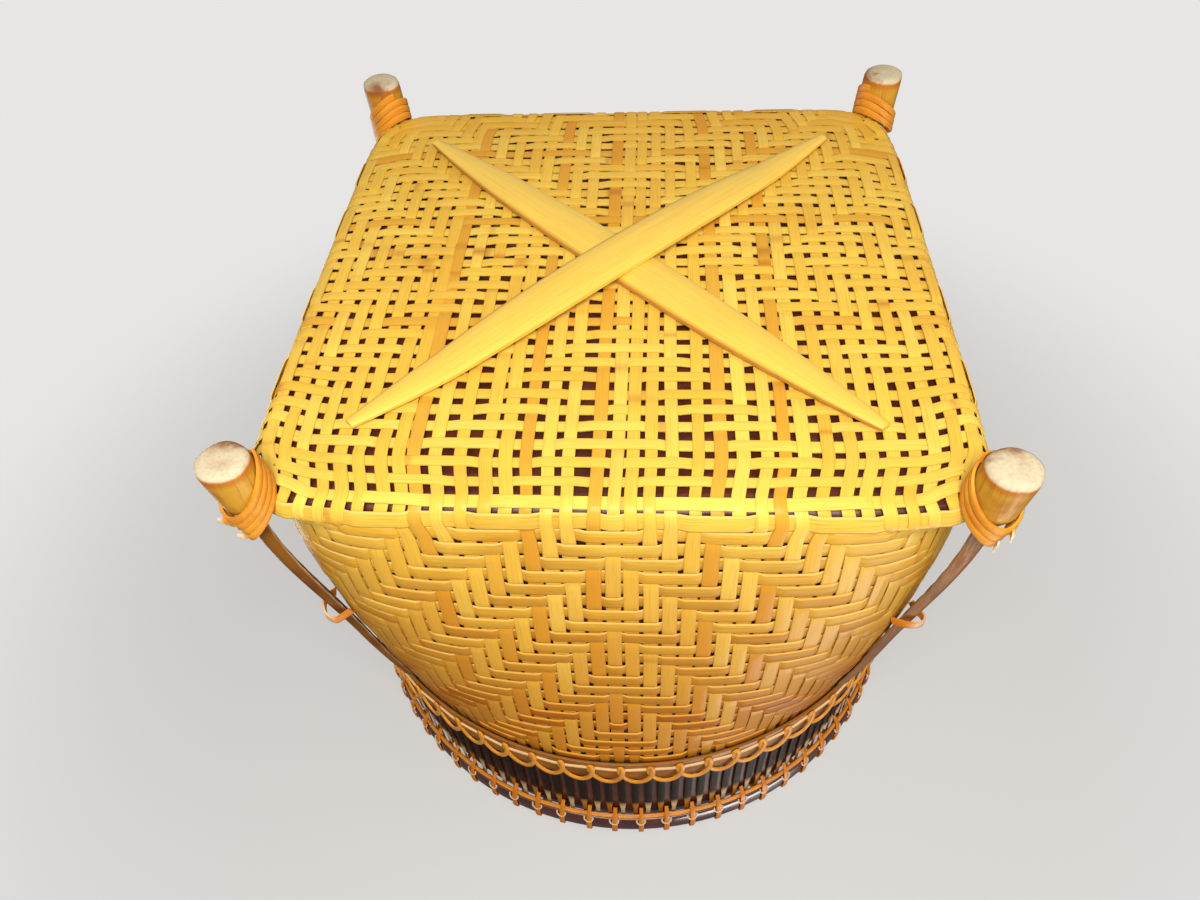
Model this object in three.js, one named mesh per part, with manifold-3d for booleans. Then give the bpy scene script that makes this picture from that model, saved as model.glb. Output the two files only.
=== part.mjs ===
// A charcoal basket of split bamboo: a square plaited base that turns into a round mouth, on four legs.
// Millimetres, +Z up. The basket stands on its feet; the origin is on the floor under the base's middle.
import * as THREE from "three";
import { mergeVertices } from "three/addons/utils/BufferGeometryUtils.js";
import Module from "manifold-3d";

const wasm = await Module();
wasm.setup();

// Gap between pieces that touch.
const SEAT = 0.3;

// Plaited body. The base plane is the outer face of the base.
const FOOT_HEIGHT = 15.5; // floor to base plane
const STAKES_PER_SIDE = 35;
const SIDES = 4;
const BASE_SHARE = 0.889; // the base's half width as a share of the neck's radius: the same stakes make both
const CORNER_SHARE = 1.31; // middle of the basket to a corner of the base, as a share of the half width
const WAIST_SHARE = 1.262; // the same just above the base, where the corner has drawn in
const CORNER_DRAW = 9; // height in which it draws in
const CORNER_TIGHT = 0.35; // how far the base's edge is rounded at a corner, as a share of the sides
const EDGE_ROUND = 6.5; // base edge, from flat to upright
const WEAVE_WALL = 2.4;
const NECK_RADIUS = 121.9; // outside of the weave where it is round
const BASE_HALF = NECK_RADIUS * BASE_SHARE;
const BASE_CORNER = BASE_HALF * CORNER_SHARE;
const WAIST_CORNER = BASE_HALF * WAIST_SHARE;
const WEAVE_HEIGHT = 142.2; // base plane to the end of the tight weave, behind the neck hoop
const ROUND_LENGTH = 7.7; // round top of the weave
const BODY_FACETS = 40; // a multiple of 8, so that each corner is on an edge between facets
const LINING_WALL = 1.2;

// Rings at the neck and the rim.
const RING_FACETS = 70; // one for each stitch, two stakes to a stitch
const NECK_HOOP_HEIGHT = 14;
const NECK_HOOP_WALL = 1.3;
const LACE_THICK = 0.9;
const LACE_WIDTH = 2.4;
const OPENWORK_HEIGHT = 46; // neck hoop to rim hoop
const STAKE_THICK = 1.1;
const STAKE_INSET = 1.1; // the stakes stand this far inside the outer face of the weave
const STAKE_SHARE = 0.6; // part of the pitch that a stake fills
const RIM_HOOP_HEIGHT = 11.3;
const RIM_HOOP_WALL = 2.9;
const RIM_HOOP_EDGE = 0.9; // how far its edges are rounded back
const INNER_HOOP_HEIGHT = 13.3;
const INNER_HOOP_WALL = 2.8;
const LINING_UNDER_TOP = 10.3; // the lining's edge below the top of the rim hoops
const CORD_RADIUS = 0.95;
const CORD_SIDES = 5;
const BINDING_THICK = 0.7;
const BINDING_WIDTH = 2.4;

// Legs: a round foot rod under a corner of the base, and over its shoulder a slender strip split from it.
const ROD_RADIUS = 7.5;
const ROD_OUTSET = 2; // the rod's axis stands this far out from the corner of the base
const ROD_LEAN = 2; // how far the foot stands out past the top of the rod
const ROD_END_ROUND = 0.8;
const ROOT_SHARE = 0.8; // half width of the strip where it leaves the shoulder, of the rod's radius
const SPLIT_LENGTH = 10; // from the shoulder to the slender strip
const STRIP_WIDE = 9;
const STRIP_THICK = 4.2;
const STRIP_END_WIDE = 7;
const STRIP_END_THICK = 2.3;
const STRIP_STANDOFF = 6.7; // how far the strip starts off the corner of the weave
const STRIP_LANDS = 95; // height over the base plane where it lies on the weave
const STRIP_STATIONS = 8;
const LEG_SIDES = 12;

// Lashings and ties of flat rattan.
const LASH_TURNS = 3.5; // the last one ends on the outer side
const LASH_WIDTH = 2.5;
const LASH_THICK = 1.2;
const LASH_PITCH = 2.95;
const LASH_LOW = 2.8; // lowest edge of the lashing over the floor
const LASH_TILT = 0.9; // rise of the outer side over the inner side, per mm across
const LASH_TAIL = 4.5;
const LASH_STEPS = 16; // for one turn
const TIE_HEIGHT = 70.5; // over the base plane
const TIE_WIDTH = 2.2;
const TIE_THICK = 1;
const TIE_SLOPE = 2; // from one end of the tie up to the other

// Battens under the base.
const BATTEN_LENGTH = 220;
const BATTEN_WIDE = 17.4;
const BATTEN_TIP = 2.4;
const BATTEN_THICK = 3;
const BATTEN_LAP = 58; // from the crossing to where the outer batten lies on the base again
const BATTEN_STATIONS = 12;
const BATTEN_FACE = 0.72; // flat part of its faces, of its width
const BATTEN_EDGE = 0.35; // depth of its edge under the inner face, of its thickness

const straw = { color: 0xe2bb55, roughness: 0.42, metalness: 0 };
const amber = { color: 0xc98a35, roughness: 0.4, metalness: 0 };
const rattan = { color: 0xd98a32, roughness: 0.38, metalness: 0 };
const darkLacquer = { color: 0x4a1712, roughness: 0.22, metalness: 0 };
const liningLacquer = { color: 0x3c120f, roughness: 0.3, metalness: 0 };

const STAKES = STAKES_PER_SIDE * SIDES;
const STITCHES = STAKES / 2;
const CORNER_TURN = (2 * Math.PI) / SIDES;
const CORNER_ANGLE = CORNER_TURN / 2;
const weaveTop = FOOT_HEIGHT + WEAVE_HEIGHT;
const hoopFrom = weaveTop + SEAT / 2 - NECK_HOOP_HEIGHT / 2;
const hoopTo = hoopFrom + NECK_HOOP_HEIGHT;
const rimFrom = hoopTo + OPENWORK_HEIGHT;
const rimTo = rimFrom + RIM_HOOP_HEIGHT;

const basket = new THREE.Group();
basket.name = "charcoal_basket";

function addPiece(name, geometry, look, turn = 0) {
  const mesh = new THREE.Mesh(geometry, new THREE.MeshStandardMaterial(look));
  mesh.name = name;
  mesh.rotation.z = turn;
  basket.add(mesh);
  return mesh;
}

const mix = (a, b, s) => a + (b - a) * s;

// A closed surface through rings with the same number of points. Its ends are closed by a point in their
// middle, or the last ring joins the first. A wall's two sides are split along the same diagonals, whether
// their rings rise or fall, so they stay parallel.
function skin(rings, looped = false) {
  const count = rings[0].length;
  const points = rings.flat();
  const index = [];
  const links = looped ? rings.length : rings.length - 1;
  for (let r = 0; r < links; r++) {
    const next = (r + 1) % rings.length;
    const [low, high] = [r * count, next * count];
    const falling = rings[next][0].z < rings[r][0].z;
    for (let i = 0; i < count; i++) {
      const j = (i + 1) % count;
      if (falling) index.push(low + i, low + j, high + i, low + j, high + j, high + i);
      else index.push(low + i, low + j, high + j, low + i, high + j, high + i);
    }
  }
  if (!looped) {
    const middle = (ring) =>
      ring.reduce((sum, p) => sum.add(p), new THREE.Vector3()).divideScalar(count);
    const first = points.push(middle(rings[0])) - 1;
    const last = points.push(middle(rings[rings.length - 1])) - 1;
    const top = (rings.length - 1) * count;
    for (let i = 0; i < count; i++) {
      const j = (i + 1) % count;
      index.push(first, j, i, last, top + i, top + j);
    }
  }
  const geometry = new THREE.BufferGeometry().setFromPoints(points);
  geometry.setIndex(index);
  return geometry;
}

// A ring of the profile given as [radius, height] points, in order round the section.
function hoop(profile) {
  const section = profile.map(([r, z]) => new THREE.Vector2(r, z));
  section.push(section[0].clone());
  return new THREE.LatheGeometry(section, RING_FACETS).rotateX(Math.PI / 2);
}

// Radius of a hoop that clears what it goes round, and of one that clears the faceted ring it lies in.
const hoopAround = (radius) => (radius + SEAT) / Math.cos(Math.PI / RING_FACETS);
const hoopInside = (radius, facets) => radius * Math.cos(Math.PI / facets) - SEAT;

// The body's plan at a height: a square with round corners, half across its sides and corner from the middle
// to a corner. Where the two are equal it is a circle.
function plan(half, corner, z) {
  const power = 1 / (0.5 - Math.log2(corner / half));
  return Array.from({ length: BODY_FACETS }, (_, i) => {
    const angle = (i / BODY_FACETS) * 2 * Math.PI;
    const [c, s] = [Math.cos(angle), Math.sin(angle)];
    const r = half / (Math.abs(c) ** power + Math.abs(s) ** power) ** (1 / power);
    return new THREE.Vector3(r * c, r * s, z);
  });
}

// The weave's outside over the height above the base plane: its sides lean out evenly. Its corners jut out
// over the legs at the base, then draw in, slowly at first, until both meet in the round neck.
const sideHeight = WEAVE_HEIGHT - ROUND_LENGTH - EDGE_ROUND;
const upSide = (height) => Math.min((height - EDGE_ROUND) / sideHeight, 1);
const halfAt = (height) => mix(BASE_HALF, NECK_RADIUS, upSide(height));
const waistAt = (height) => mix(WAIST_CORNER, NECK_RADIUS, upSide(height) ** 2);
function cornerAt(height) {
  const drawn = Math.max(1 - (height - EDGE_ROUND) / CORNER_DRAW, 0);
  return waistAt(height) + (BASE_CORNER - WAIST_CORNER) * drawn ** 2;
}

// Rings of the weave's outside set in by depth, from the flat of the base to the end of the tight weave.
const EDGE_STEPS = 3;
const SIDE_STEPS = 6;
function weaveRings(depth) {
  const bend = EDGE_ROUND - depth;
  const edge = Array.from({ length: EDGE_STEPS }, (_, i) => {
    const angle = (i / EDGE_STEPS) * (Math.PI / 2);
    const inset = EDGE_ROUND - bend * Math.sin(angle);
    const height = EDGE_ROUND - bend * Math.cos(angle);
    const cornerInset = mix(depth, inset, CORNER_TIGHT);
    return plan(BASE_HALF - inset, BASE_CORNER - cornerInset, FOOT_HEIGHT + height);
  });
  const steps = Array.from({ length: SIDE_STEPS + 1 }, (_, i) => EDGE_ROUND + (sideHeight * i) / SIDE_STEPS);
  steps.splice(1, 0, EDGE_ROUND + CORNER_DRAW);
  const side = [...steps, WEAVE_HEIGHT].map((height) =>
    plan(halfAt(height) - depth, cornerAt(height) - depth, FOOT_HEIGHT + height),
  );
  return [...edge, ...side];
}

const body = skin([...weaveRings(0), ...weaveRings(WEAVE_WALL).reverse()]);
addPiece("woven_body", body, straw);

// The lining follows the inside of the weave and goes on behind the stakes to the rim.
const liningDepth = WEAVE_WALL + SEAT;
const liningTop = rimTo - LINING_UNDER_TOP;
const liningRings = (depth) => [
  ...weaveRings(depth),
  plan(NECK_RADIUS - depth, NECK_RADIUS - depth, liningTop),
];
const lining = skin([...liningRings(liningDepth), ...liningRings(liningDepth + LINING_WALL).reverse()]);
addPiece("lacquered_lining", lining, liningLacquer);

// A ring of upright stakes on a low band: the band is hidden behind the neck hoop.
function comb(count, share, inner, outer, bandFrom, bandTo, top) {
  const points = [];
  const index = [];
  const at = (radius, angle, z) =>
    points.push(new THREE.Vector3(radius * Math.cos(angle), radius * Math.sin(angle), z)) - 1;
  const pitch = (2 * Math.PI) / count;
  const teeth = Array.from({ length: count }, (_, k) => {
    const middle = (k + 0.5) * pitch;
    const ends = [middle - (share * pitch) / 2, middle + (share * pitch) / 2];
    return {
      foot: [inner, outer].map((r) => at(r, middle, bandFrom)),
      low: [inner, outer].map((r) => ends.map((a) => at(r, a, bandTo))),
      high: [inner, outer].map((r) => ends.map((a) => at(r, a, top))),
    };
  });
  const tri = (a, b, c, flip) => (flip ? index.push(a, c, b) : index.push(a, b, c));
  const quad = (a, b, c, d, flip = false) => {
    tri(a, b, c, flip);
    tri(a, c, d, flip);
  };
  teeth.forEach((tooth, k) => {
    const next = teeth[(k + 1) % count];
    [0, 1].forEach((side) => {
      const inward = side === 0;
      const [s, e] = tooth.low[side];
      tri(tooth.foot[side], e, s, inward);
      tri(tooth.foot[side], next.foot[side], e, inward);
      tri(next.foot[side], next.low[side][0], e, inward);
      quad(s, e, tooth.high[side][1], tooth.high[side][0], inward);
    });
    quad(tooth.foot[0], next.foot[0], next.foot[1], tooth.foot[1]);
    quad(tooth.low[0][1], tooth.low[1][1], next.low[1][0], next.low[0][0]);
    quad(tooth.high[0][0], tooth.high[1][0], tooth.high[1][1], tooth.high[0][1]);
    quad(tooth.low[0][0], tooth.low[1][0], tooth.high[1][0], tooth.high[0][0]);
    quad(tooth.low[0][1], tooth.low[1][1], tooth.high[1][1], tooth.high[0][1], true);
  });
  const geometry = new THREE.BufferGeometry().setFromPoints(points);
  geometry.setIndex(index);
  return geometry;
}

const stakeOuter = NECK_RADIUS - STAKE_INSET;
const stakeInner = stakeOuter - STAKE_THICK;
const stakes = comb(STAKES, STAKE_SHARE, stakeInner, stakeOuter, weaveTop + SEAT, hoopTo, rimTo - SEAT);
addPiece("neck_stakes", stakes, amber);

// Neck hoop with its lacing.
const neckHoopInner = hoopAround(NECK_RADIUS);
const neckHoopOuter = neckHoopInner + NECK_HOOP_WALL;
const neckHoop = hoop([
  [neckHoopInner, hoopFrom],
  [neckHoopOuter, hoopFrom],
  [neckHoopOuter, hoopTo],
  [neckHoopInner, hoopTo],
]);
addPiece("neck_hoop", neckHoop, rattan);

// The lacing is narrow where it crosses, at every stitch, and spreads to the hoop's edges between stitches.
function lacing() {
  const inner = neckHoopOuter + SEAT;
  const middle = (hoopFrom + hoopTo) / 2;
  const columns = STITCHES * 2;
  const rings = Array.from({ length: columns }, (_, i) => {
    const angle = (i / columns) * 2 * Math.PI;
    const crossing = i % 2 === 0;
    const half = (crossing ? LACE_WIDTH : NECK_HOOP_HEIGHT) / 2;
    const proud = inner + (crossing ? LACE_THICK : LACE_THICK / 2);
    return [
      [inner, middle - half],
      [proud, middle - half / 2],
      [proud, middle + half / 2],
      [inner, middle + half],
    ].map(([r, z]) => new THREE.Vector3(r * Math.cos(angle), r * Math.sin(angle), z));
  });
  return skin(rings.reverse(), true);
}
addPiece("neck_lacing", lacing(), rattan);

// Rim: two hoops clamp the stakes' ends, a cord runs under the outer one, and the binding holds them all.
const rimHoopInner = hoopAround(stakeOuter);
const rimHoopOuter = rimHoopInner + RIM_HOOP_WALL;
const rimHoop = hoop([
  [rimHoopInner, rimFrom],
  [rimHoopOuter - RIM_HOOP_EDGE, rimFrom],
  [rimHoopOuter, (rimFrom + rimTo) / 2],
  [rimHoopOuter - RIM_HOOP_EDGE, rimTo],
  [rimHoopInner, rimTo],
]);
addPiece("rim_hoop_outer", rimHoop, darkLacquer);

const innerHoopOuter = hoopInside(NECK_RADIUS - liningDepth - LINING_WALL, BODY_FACETS);
const innerHoopInner = innerHoopOuter - INNER_HOOP_WALL;
const innerHoopFrom = rimTo - INNER_HOOP_HEIGHT;
const innerHoop = hoop([
  [innerHoopInner, innerHoopFrom + RIM_HOOP_EDGE],
  [innerHoopOuter, innerHoopFrom],
  [innerHoopOuter, rimTo],
  [innerHoopInner, rimTo - RIM_HOOP_EDGE],
]);
addPiece("rim_hoop_inner", innerHoop, darkLacquer);

const cordInner = rimHoopInner;
const cordMiddle = cordInner + CORD_RADIUS;
const cordHeight = rimFrom - SEAT - CORD_RADIUS;
const cord = Array.from({ length: CORD_SIDES }, (_, i) => {
  const angle = ((i + 0.5) / CORD_SIDES) * 2 * Math.PI;
  return [cordMiddle + CORD_RADIUS * Math.cos(angle), cordHeight + CORD_RADIUS * Math.sin(angle)];
});
addPiece("rim_cord", hoop(cord), rattan);

// A geometry as a solid that can be joined to others, and back.
function solidOf(geometry) {
  const bare = new THREE.BufferGeometry();
  bare.setAttribute("position", geometry.getAttribute("position").clone());
  if (geometry.index) bare.setIndex(geometry.index.clone());
  const merged = mergeVertices(bare, 1e-3);
  const vertProperties = new Float32Array(merged.attributes.position.array);
  const triVerts = new Uint32Array(merged.index.array);
  return new wasm.Manifold(new wasm.Mesh({ numProp: 3, vertProperties, triVerts }));
}

function geometryOf(solid) {
  const mesh = solid.getMesh();
  const geometry = new THREE.BufferGeometry();
  geometry.setAttribute("position", new THREE.BufferAttribute(new Float32Array(mesh.vertProperties), 3));
  geometry.setIndex(new THREE.BufferAttribute(new Uint32Array(mesh.triVerts), 1));
  return geometry;
}

// The binding: a thin strand that runs on below the cord, and at each stitch a flat strip that hooks round
// the cord, climbs the outer hoop and crosses the top of both hoops.
function binding() {
  const low = cordHeight - CORD_RADIUS - SEAT - BINDING_THICK;
  const outer = rimHoopOuter + SEAT + BINDING_THICK;
  const high = rimTo + SEAT + BINDING_THICK;
  const section = new THREE.Shape(
    [
      [cordInner, low],
      [outer, low],
      [outer, high],
      [innerHoopInner, high],
      [innerHoopInner, high - BINDING_THICK],
      [outer - BINDING_THICK, high - BINDING_THICK],
      [outer - BINDING_THICK, low + BINDING_THICK],
      [cordInner, low + BINDING_THICK],
    ].map(([r, z]) => new THREE.Vector2(r, z)),
  );
  const strip = new THREE.ExtrudeGeometry(section, { depth: BINDING_WIDTH, bevelEnabled: false });
  strip.translate(0, 0, -BINDING_WIDTH / 2).rotateX(Math.PI / 2);
  const strand = hoop([
    [cordInner, low],
    [cordInner + BINDING_THICK * 2, low],
    [cordInner + BINDING_THICK * 2, low + BINDING_THICK],
    [cordInner, low + BINDING_THICK],
  ]);
  const strips = Array.from({ length: STITCHES }, (_, k) =>
    solidOf(strip.clone().rotateZ(((k + 0.5) / STITCHES) * 2 * Math.PI)),
  );
  return geometryOf(wasm.Manifold.union([solidOf(strand), ...strips]));
}
addPiece("rim_binding", binding(), rattan);

// Legs. A leg is made pointing along +X: x is away from the basket's axis, y is along its surface.
const rodTop = FOOT_HEIGHT - SEAT;
const rodTopAxis = BASE_CORNER + ROD_OUTSET;
const rodAxisAt = (z) => rodTopAxis + ROD_LEAN * Math.max(1 - z / rodTop, 0);
const stripTop = hoopFrom - SEAT;

// The strip's middle, half thickness and half width at a height over the floor. It starts off the corner of
// the weave, comes in to it and follows it.
function stripAt(z) {
  const share = (z - rodTop) / (stripTop - rodTop);
  const thick = mix(STRIP_THICK, STRIP_END_THICK, share) / 2;
  const wide = mix(STRIP_WIDE, STRIP_END_WIDE, share) / 2;
  const height = z - FOOT_HEIGHT;
  const landed = Math.min(height / STRIP_LANDS, 1);
  const standoff = (STRIP_STANDOFF * (1 + Math.cos(Math.PI * landed))) / 2;
  return { middle: waistAt(height) + SEAT + thick + standoff, thick, wide };
}

const oval = (middle, thick, wide, z) =>
  Array.from({ length: LEG_SIDES }, (_, i) => {
    const angle = (i / LEG_SIDES) * 2 * Math.PI;
    return new THREE.Vector3(middle + thick * Math.cos(angle), wide * Math.sin(angle), z);
  });

function leg() {
  const root = stripAt(rodTop);
  const rootInner = root.middle - root.thick;
  const rootOuter = rodTopAxis + ROD_RADIUS - ROD_END_ROUND / 2;
  const rings = [
    oval(rodAxisAt(0), ROD_RADIUS - ROD_END_ROUND, ROD_RADIUS - ROD_END_ROUND, 0),
    oval(rodAxisAt(ROD_END_ROUND), ROD_RADIUS, ROD_RADIUS, ROD_END_ROUND),
    oval(rodTopAxis, ROD_RADIUS, ROD_RADIUS, rodTop),
    oval((rootInner + rootOuter) / 2, (rootOuter - rootInner) / 2, ROD_RADIUS * ROOT_SHARE, rodTop),
  ];
  for (let i = 0; i <= STRIP_STATIONS; i++) {
    const z = mix(rodTop + SPLIT_LENGTH, stripTop, i / STRIP_STATIONS);
    const { middle, thick, wide } = stripAt(z);
    rings.push(oval(middle, thick, wide, z));
  }
  return skin(rings);
}

// A flat strip of rattan through stations {point, out}: its thickness lies along out and its width upright.
const STRIP_SECTION = [
  [0, -1],
  [-1, -0.55],
  [-1, 0.55],
  [0, 1],
  [1, 0.55],
  [1, -0.55],
];
const stripRings = (stations, wide, thick) =>
  stations.map(({ point, out }) =>
    STRIP_SECTION.map(([across, up]) => {
      const corner = point.clone().addScaledVector(out, (across * thick) / 2);
      corner.z += (up * wide) / 2;
      return corner;
    }),
  );

// The least distance between the corners of one turn and those of the turns after it.
function leastGap(rings) {
  let least = Infinity;
  rings.forEach((ring, i) =>
    rings.slice(i + LASH_STEPS / 2).forEach((other) =>
      ring.forEach((a) => other.forEach((b) => (least = Math.min(least, a.distanceTo(b))))),
    ),
  );
  return least;
}

// Stations round an oval from one angle to another, with tails that run straight on from both ends. up gives
// a station's height from its angle, and middle the oval's middle from its height.
function wound({ from, to, middle, acrossOut, acrossSide, up, tail }) {
  const steps = Math.round(((to - from) / (2 * Math.PI)) * LASH_STEPS);
  const stations = Array.from({ length: steps + 1 }, (_, i) => {
    const angle = mix(from, to, i / steps);
    const z = up(angle);
    const [c, s] = [Math.cos(angle), Math.sin(angle)];
    const point = new THREE.Vector3(middle(z) + acrossOut * c, acrossSide * s, z);
    const out = new THREE.Vector3(c / acrossOut, s / acrossSide, 0).normalize();
    return { point, out };
  });
  const tailOf = ({ point, out }, way) => {
    const tangent = new THREE.Vector3(-out.y, out.x, 0);
    return { point: point.clone().addScaledVector(tangent, way * tail), out };
  };
  return [tailOf(stations[0], -1), ...stations, tailOf(stations[steps], 1)];
}

// The foot lashing climbs the rod from its inner side, where it passes under the base, and is tilted up to
// the outside.
const lashAcross = ROD_RADIUS + SEAT + LASH_THICK / 2;
const lashStations = wound({
  from: Math.PI,
  to: Math.PI * (1 + 2 * LASH_TURNS),
  middle: rodAxisAt,
  acrossOut: lashAcross,
  acrossSide: lashAcross,
  up: (angle) =>
    LASH_LOW +
    LASH_WIDTH / 2 +
    (LASH_PITCH * (angle - Math.PI)) / (2 * Math.PI) +
    LASH_TILT * lashAcross * (1 + Math.cos(angle)),
  tail: LASH_TAIL,
});
const lashRings = stripRings(lashStations, LASH_WIDTH, LASH_THICK);
console.log("least gap of a foot lashing to itself, mm:", leastGap(lashRings).toFixed(2));

// The post tie goes over the strip, and both its ends run in to the weave.
const tieLow = FOOT_HEIGHT + TIE_HEIGHT - TIE_SLOPE / 2;
const tied = stripAt(FOOT_HEIGHT + TIE_HEIGHT);
const tieStations = wound({
  from: -Math.PI / 2,
  to: Math.PI / 2,
  middle: (z) => stripAt(z).middle,
  acrossOut: tied.thick + SEAT * 2 + TIE_THICK / 2,
  acrossSide: tied.wide + SEAT + TIE_THICK / 2,
  up: (angle) => tieLow + TIE_SLOPE * (angle / Math.PI + 0.5),
  tail: tied.thick + SEAT,
});
const tieRings = stripRings(tieStations, TIE_WIDTH, TIE_THICK);

const CORNERS = ["back_right", "back_left", "front_left", "front_right"];
CORNERS.forEach((corner, k) => {
  const turn = CORNER_ANGLE + (k * Math.PI) / 2;
  addPiece("leg_" + corner, leg(), amber, turn);
  addPiece("foot_lashing_" + corner, skin(lashRings), rattan, turn);
  addPiece("post_tie_" + corner, skin(tieRings), rattan, turn);
});

// A batten: a long lens lying along X under the base. lap is how far its middle stands off the base to pass
// over the other batten.
function batten(lap) {
  const rings = Array.from({ length: BATTEN_STATIONS + 1 }, (_, i) => {
    const end = mix(-1, 1, i / BATTEN_STATIONS);
    const x = (end * BATTEN_LENGTH) / 2;
    const half = Math.max(BATTEN_WIDE * (1 - end * end), BATTEN_TIP) / 2;
    const top = FOOT_HEIGHT - SEAT - lap * Math.max(0, 1 - (x / BATTEN_LAP) ** 2);
    const low = top - BATTEN_THICK;
    const edge = top - BATTEN_THICK * BATTEN_EDGE;
    return [
      [-half, edge],
      [-half * BATTEN_FACE, low],
      [half * BATTEN_FACE, low],
      [half, edge],
      [half * BATTEN_FACE, top],
      [-half * BATTEN_FACE, top],
    ].map(([y, z]) => new THREE.Vector3(x, y, z));
  });
  return skin(rings);
}
const battenInner = addPiece("batten_inner", batten(0), straw, CORNER_ANGLE);
const battenOuter = addPiece("batten_outer", batten(BATTEN_THICK + SEAT), straw, -CORNER_ANGLE);

export default basket;
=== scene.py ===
import math
import random

import bpy
import numpy as np
from mathutils import Matrix


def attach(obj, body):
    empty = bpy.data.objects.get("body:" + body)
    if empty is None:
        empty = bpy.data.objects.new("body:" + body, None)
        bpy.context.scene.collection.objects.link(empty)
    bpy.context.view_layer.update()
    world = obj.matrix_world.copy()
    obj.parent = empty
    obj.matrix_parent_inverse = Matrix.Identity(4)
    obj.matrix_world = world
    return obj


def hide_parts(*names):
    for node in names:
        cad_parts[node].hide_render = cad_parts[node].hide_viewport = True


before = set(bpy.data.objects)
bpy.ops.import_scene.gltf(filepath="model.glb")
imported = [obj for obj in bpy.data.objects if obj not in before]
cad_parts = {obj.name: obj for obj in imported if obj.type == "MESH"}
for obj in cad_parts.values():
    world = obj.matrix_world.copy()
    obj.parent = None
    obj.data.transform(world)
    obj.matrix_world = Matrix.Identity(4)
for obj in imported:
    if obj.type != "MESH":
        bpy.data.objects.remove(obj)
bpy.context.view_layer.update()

# Lengths are in millimetres until a mesh is made. The basket stands on its feet at z = 0 and the
# photograph shows it turned over, from below its -Y side.
MM = 0.001
TURN = 2 * math.pi
rng = random.Random(7)

# The camera, solved from silhouettes measured in the photograph: the rim, the neck, the feet, the folds
# of the base and its rows of holes.
CAMERA_PLACE = (-12.3, -250.73, -176.03)
CAMERA_RIGHT = (-0.99811, 0.04637, 0.04141)
CAMERA_UP = (0.00811, 0.75708, -0.6533)
CAMERA_FORWARD = (0.0617, 0.65162, 0.75603)
LENS = 26.74
SENSOR_WIDTH = 36.0
NEAREST = 0.01

# The weave's outside, as in the part's source.
FOOT_HEIGHT = 15.5
BASE_SHARE = 0.889
CORNER_SHARE = 1.31
WAIST_SHARE = 1.262
CORNER_DRAW = 9.0
CORNER_TIGHT = 0.35
EDGE_ROUND = 6.5
NECK_RADIUS = 121.9
WEAVE_HEIGHT = 142.2
ROUND_LENGTH = 7.7
BASE_HALF = NECK_RADIUS * BASE_SHARE
BASE_CORNER = BASE_HALF * CORNER_SHARE
WAIST_CORNER = BASE_HALF * WAIST_SHARE
SIDE_HEIGHT = WEAVE_HEIGHT - ROUND_LENGTH - EDGE_ROUND
FLAT_HALF = BASE_HALF - EDGE_ROUND
FLAT_CORNER = BASE_CORNER - EDGE_ROUND * CORNER_TIGHT
FOLD = EDGE_ROUND * math.pi / 2
WALL_START = FLAT_HALF + FOLD

# The plaiting: 35 strips each way, going over three and under three, and 23 rounds on the sides. The
# strips are numbered from the middle one's 0, and a step is the way from one to the next. A way out is
# measured along the surface, from the middle of the base.
LAST = 17
PER_SIDE = 2 * LAST + 1
SPAN = PER_SIDE / 2
STAKES = 4 * PER_SIDE
REPEAT = 6
REACH = WALL_START - 5.0
PITCH = REACH / SPAN
FIRST_ROUND = REACH + 3.4
ROUND_STEP = 5.95
ROUNDS = 23
LAST_ROUND = LAST + ROUNDS
STAKE_TOP = 221.3
STAKE_RADIUS = 120.2
# How deep the plaiting's middle lies under the outside, and how far strips and rounds swing from it.
DEPTH = 0.9
SWING = 0.27
ROUND_SWING = 0.42
STRIP_THICK = 0.44
CORNER_PULL = 0.066


def mix(a, b, t):
    return a + (b - a) * t


def smooth(t):
    t = np.clip(t, 0.0, 1.0)
    return t * t * (3 - 2 * t)


def circle(count):
    """Angles at even steps, once round."""
    return np.arange(count) * TURN / count


def unit(v):
    return v / np.maximum(np.linalg.norm(v, axis=-1, keepdims=True), 1e-9)


# The surface of the weave.
def radius_at(angle, half, corner):
    """The radius of a square with round corners, half across its sides."""
    n = 1 / (0.5 - np.log2(corner / half))
    return half * (np.abs(np.cos(angle)) ** n + np.abs(np.sin(angle)) ** n) ** (-1 / n)


def outline(angle, half, corner):
    """Points of the rounded square, and the directions that face out of it."""
    small = 1e-3
    r = radius_at(angle, half, corner)
    rise = (radius_at(angle + small, half, corner) - radius_at(angle - small, half, corner)) / (2 * small)
    c, s = np.cos(angle), np.sin(angle)
    return r * c, r * s, unit(np.stack([r * c + rise * s, r * s - rise * c], -1))


def up_side(t):
    return np.clip((t - EDGE_ROUND) / SIDE_HEIGHT, 0, 1)


def half_at(t):
    return mix(BASE_HALF, NECK_RADIUS, up_side(t))


def waist_at(t):
    return mix(WAIST_CORNER, NECK_RADIUS, up_side(t) ** 2)


def corner_at(t):
    drawn = np.clip(1 - (t - EDGE_ROUND) / CORNER_DRAW, 0, 1)
    return waist_at(t) + (BASE_CORNER - WAIST_CORNER) * drawn ** 2


ANGLE_STEPS = 121
SIDE_ANGLES = np.linspace(-math.pi / 4, math.pi / 4, ANGLE_STEPS)
SIDE_SHARES = np.linspace(-1, 1, ANGLE_STEPS)


def even_angles(half, corner):
    """The angles of one side at even steps along it."""
    x, y, _ = outline(SIDE_ANGLES, half, corner)
    run = np.concatenate([[0], np.cumsum(np.hypot(np.diff(x), np.diff(y)))])
    return np.interp(SIDE_SHARES, run / run[-1] * 2 - 1, SIDE_ANGLES)


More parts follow.
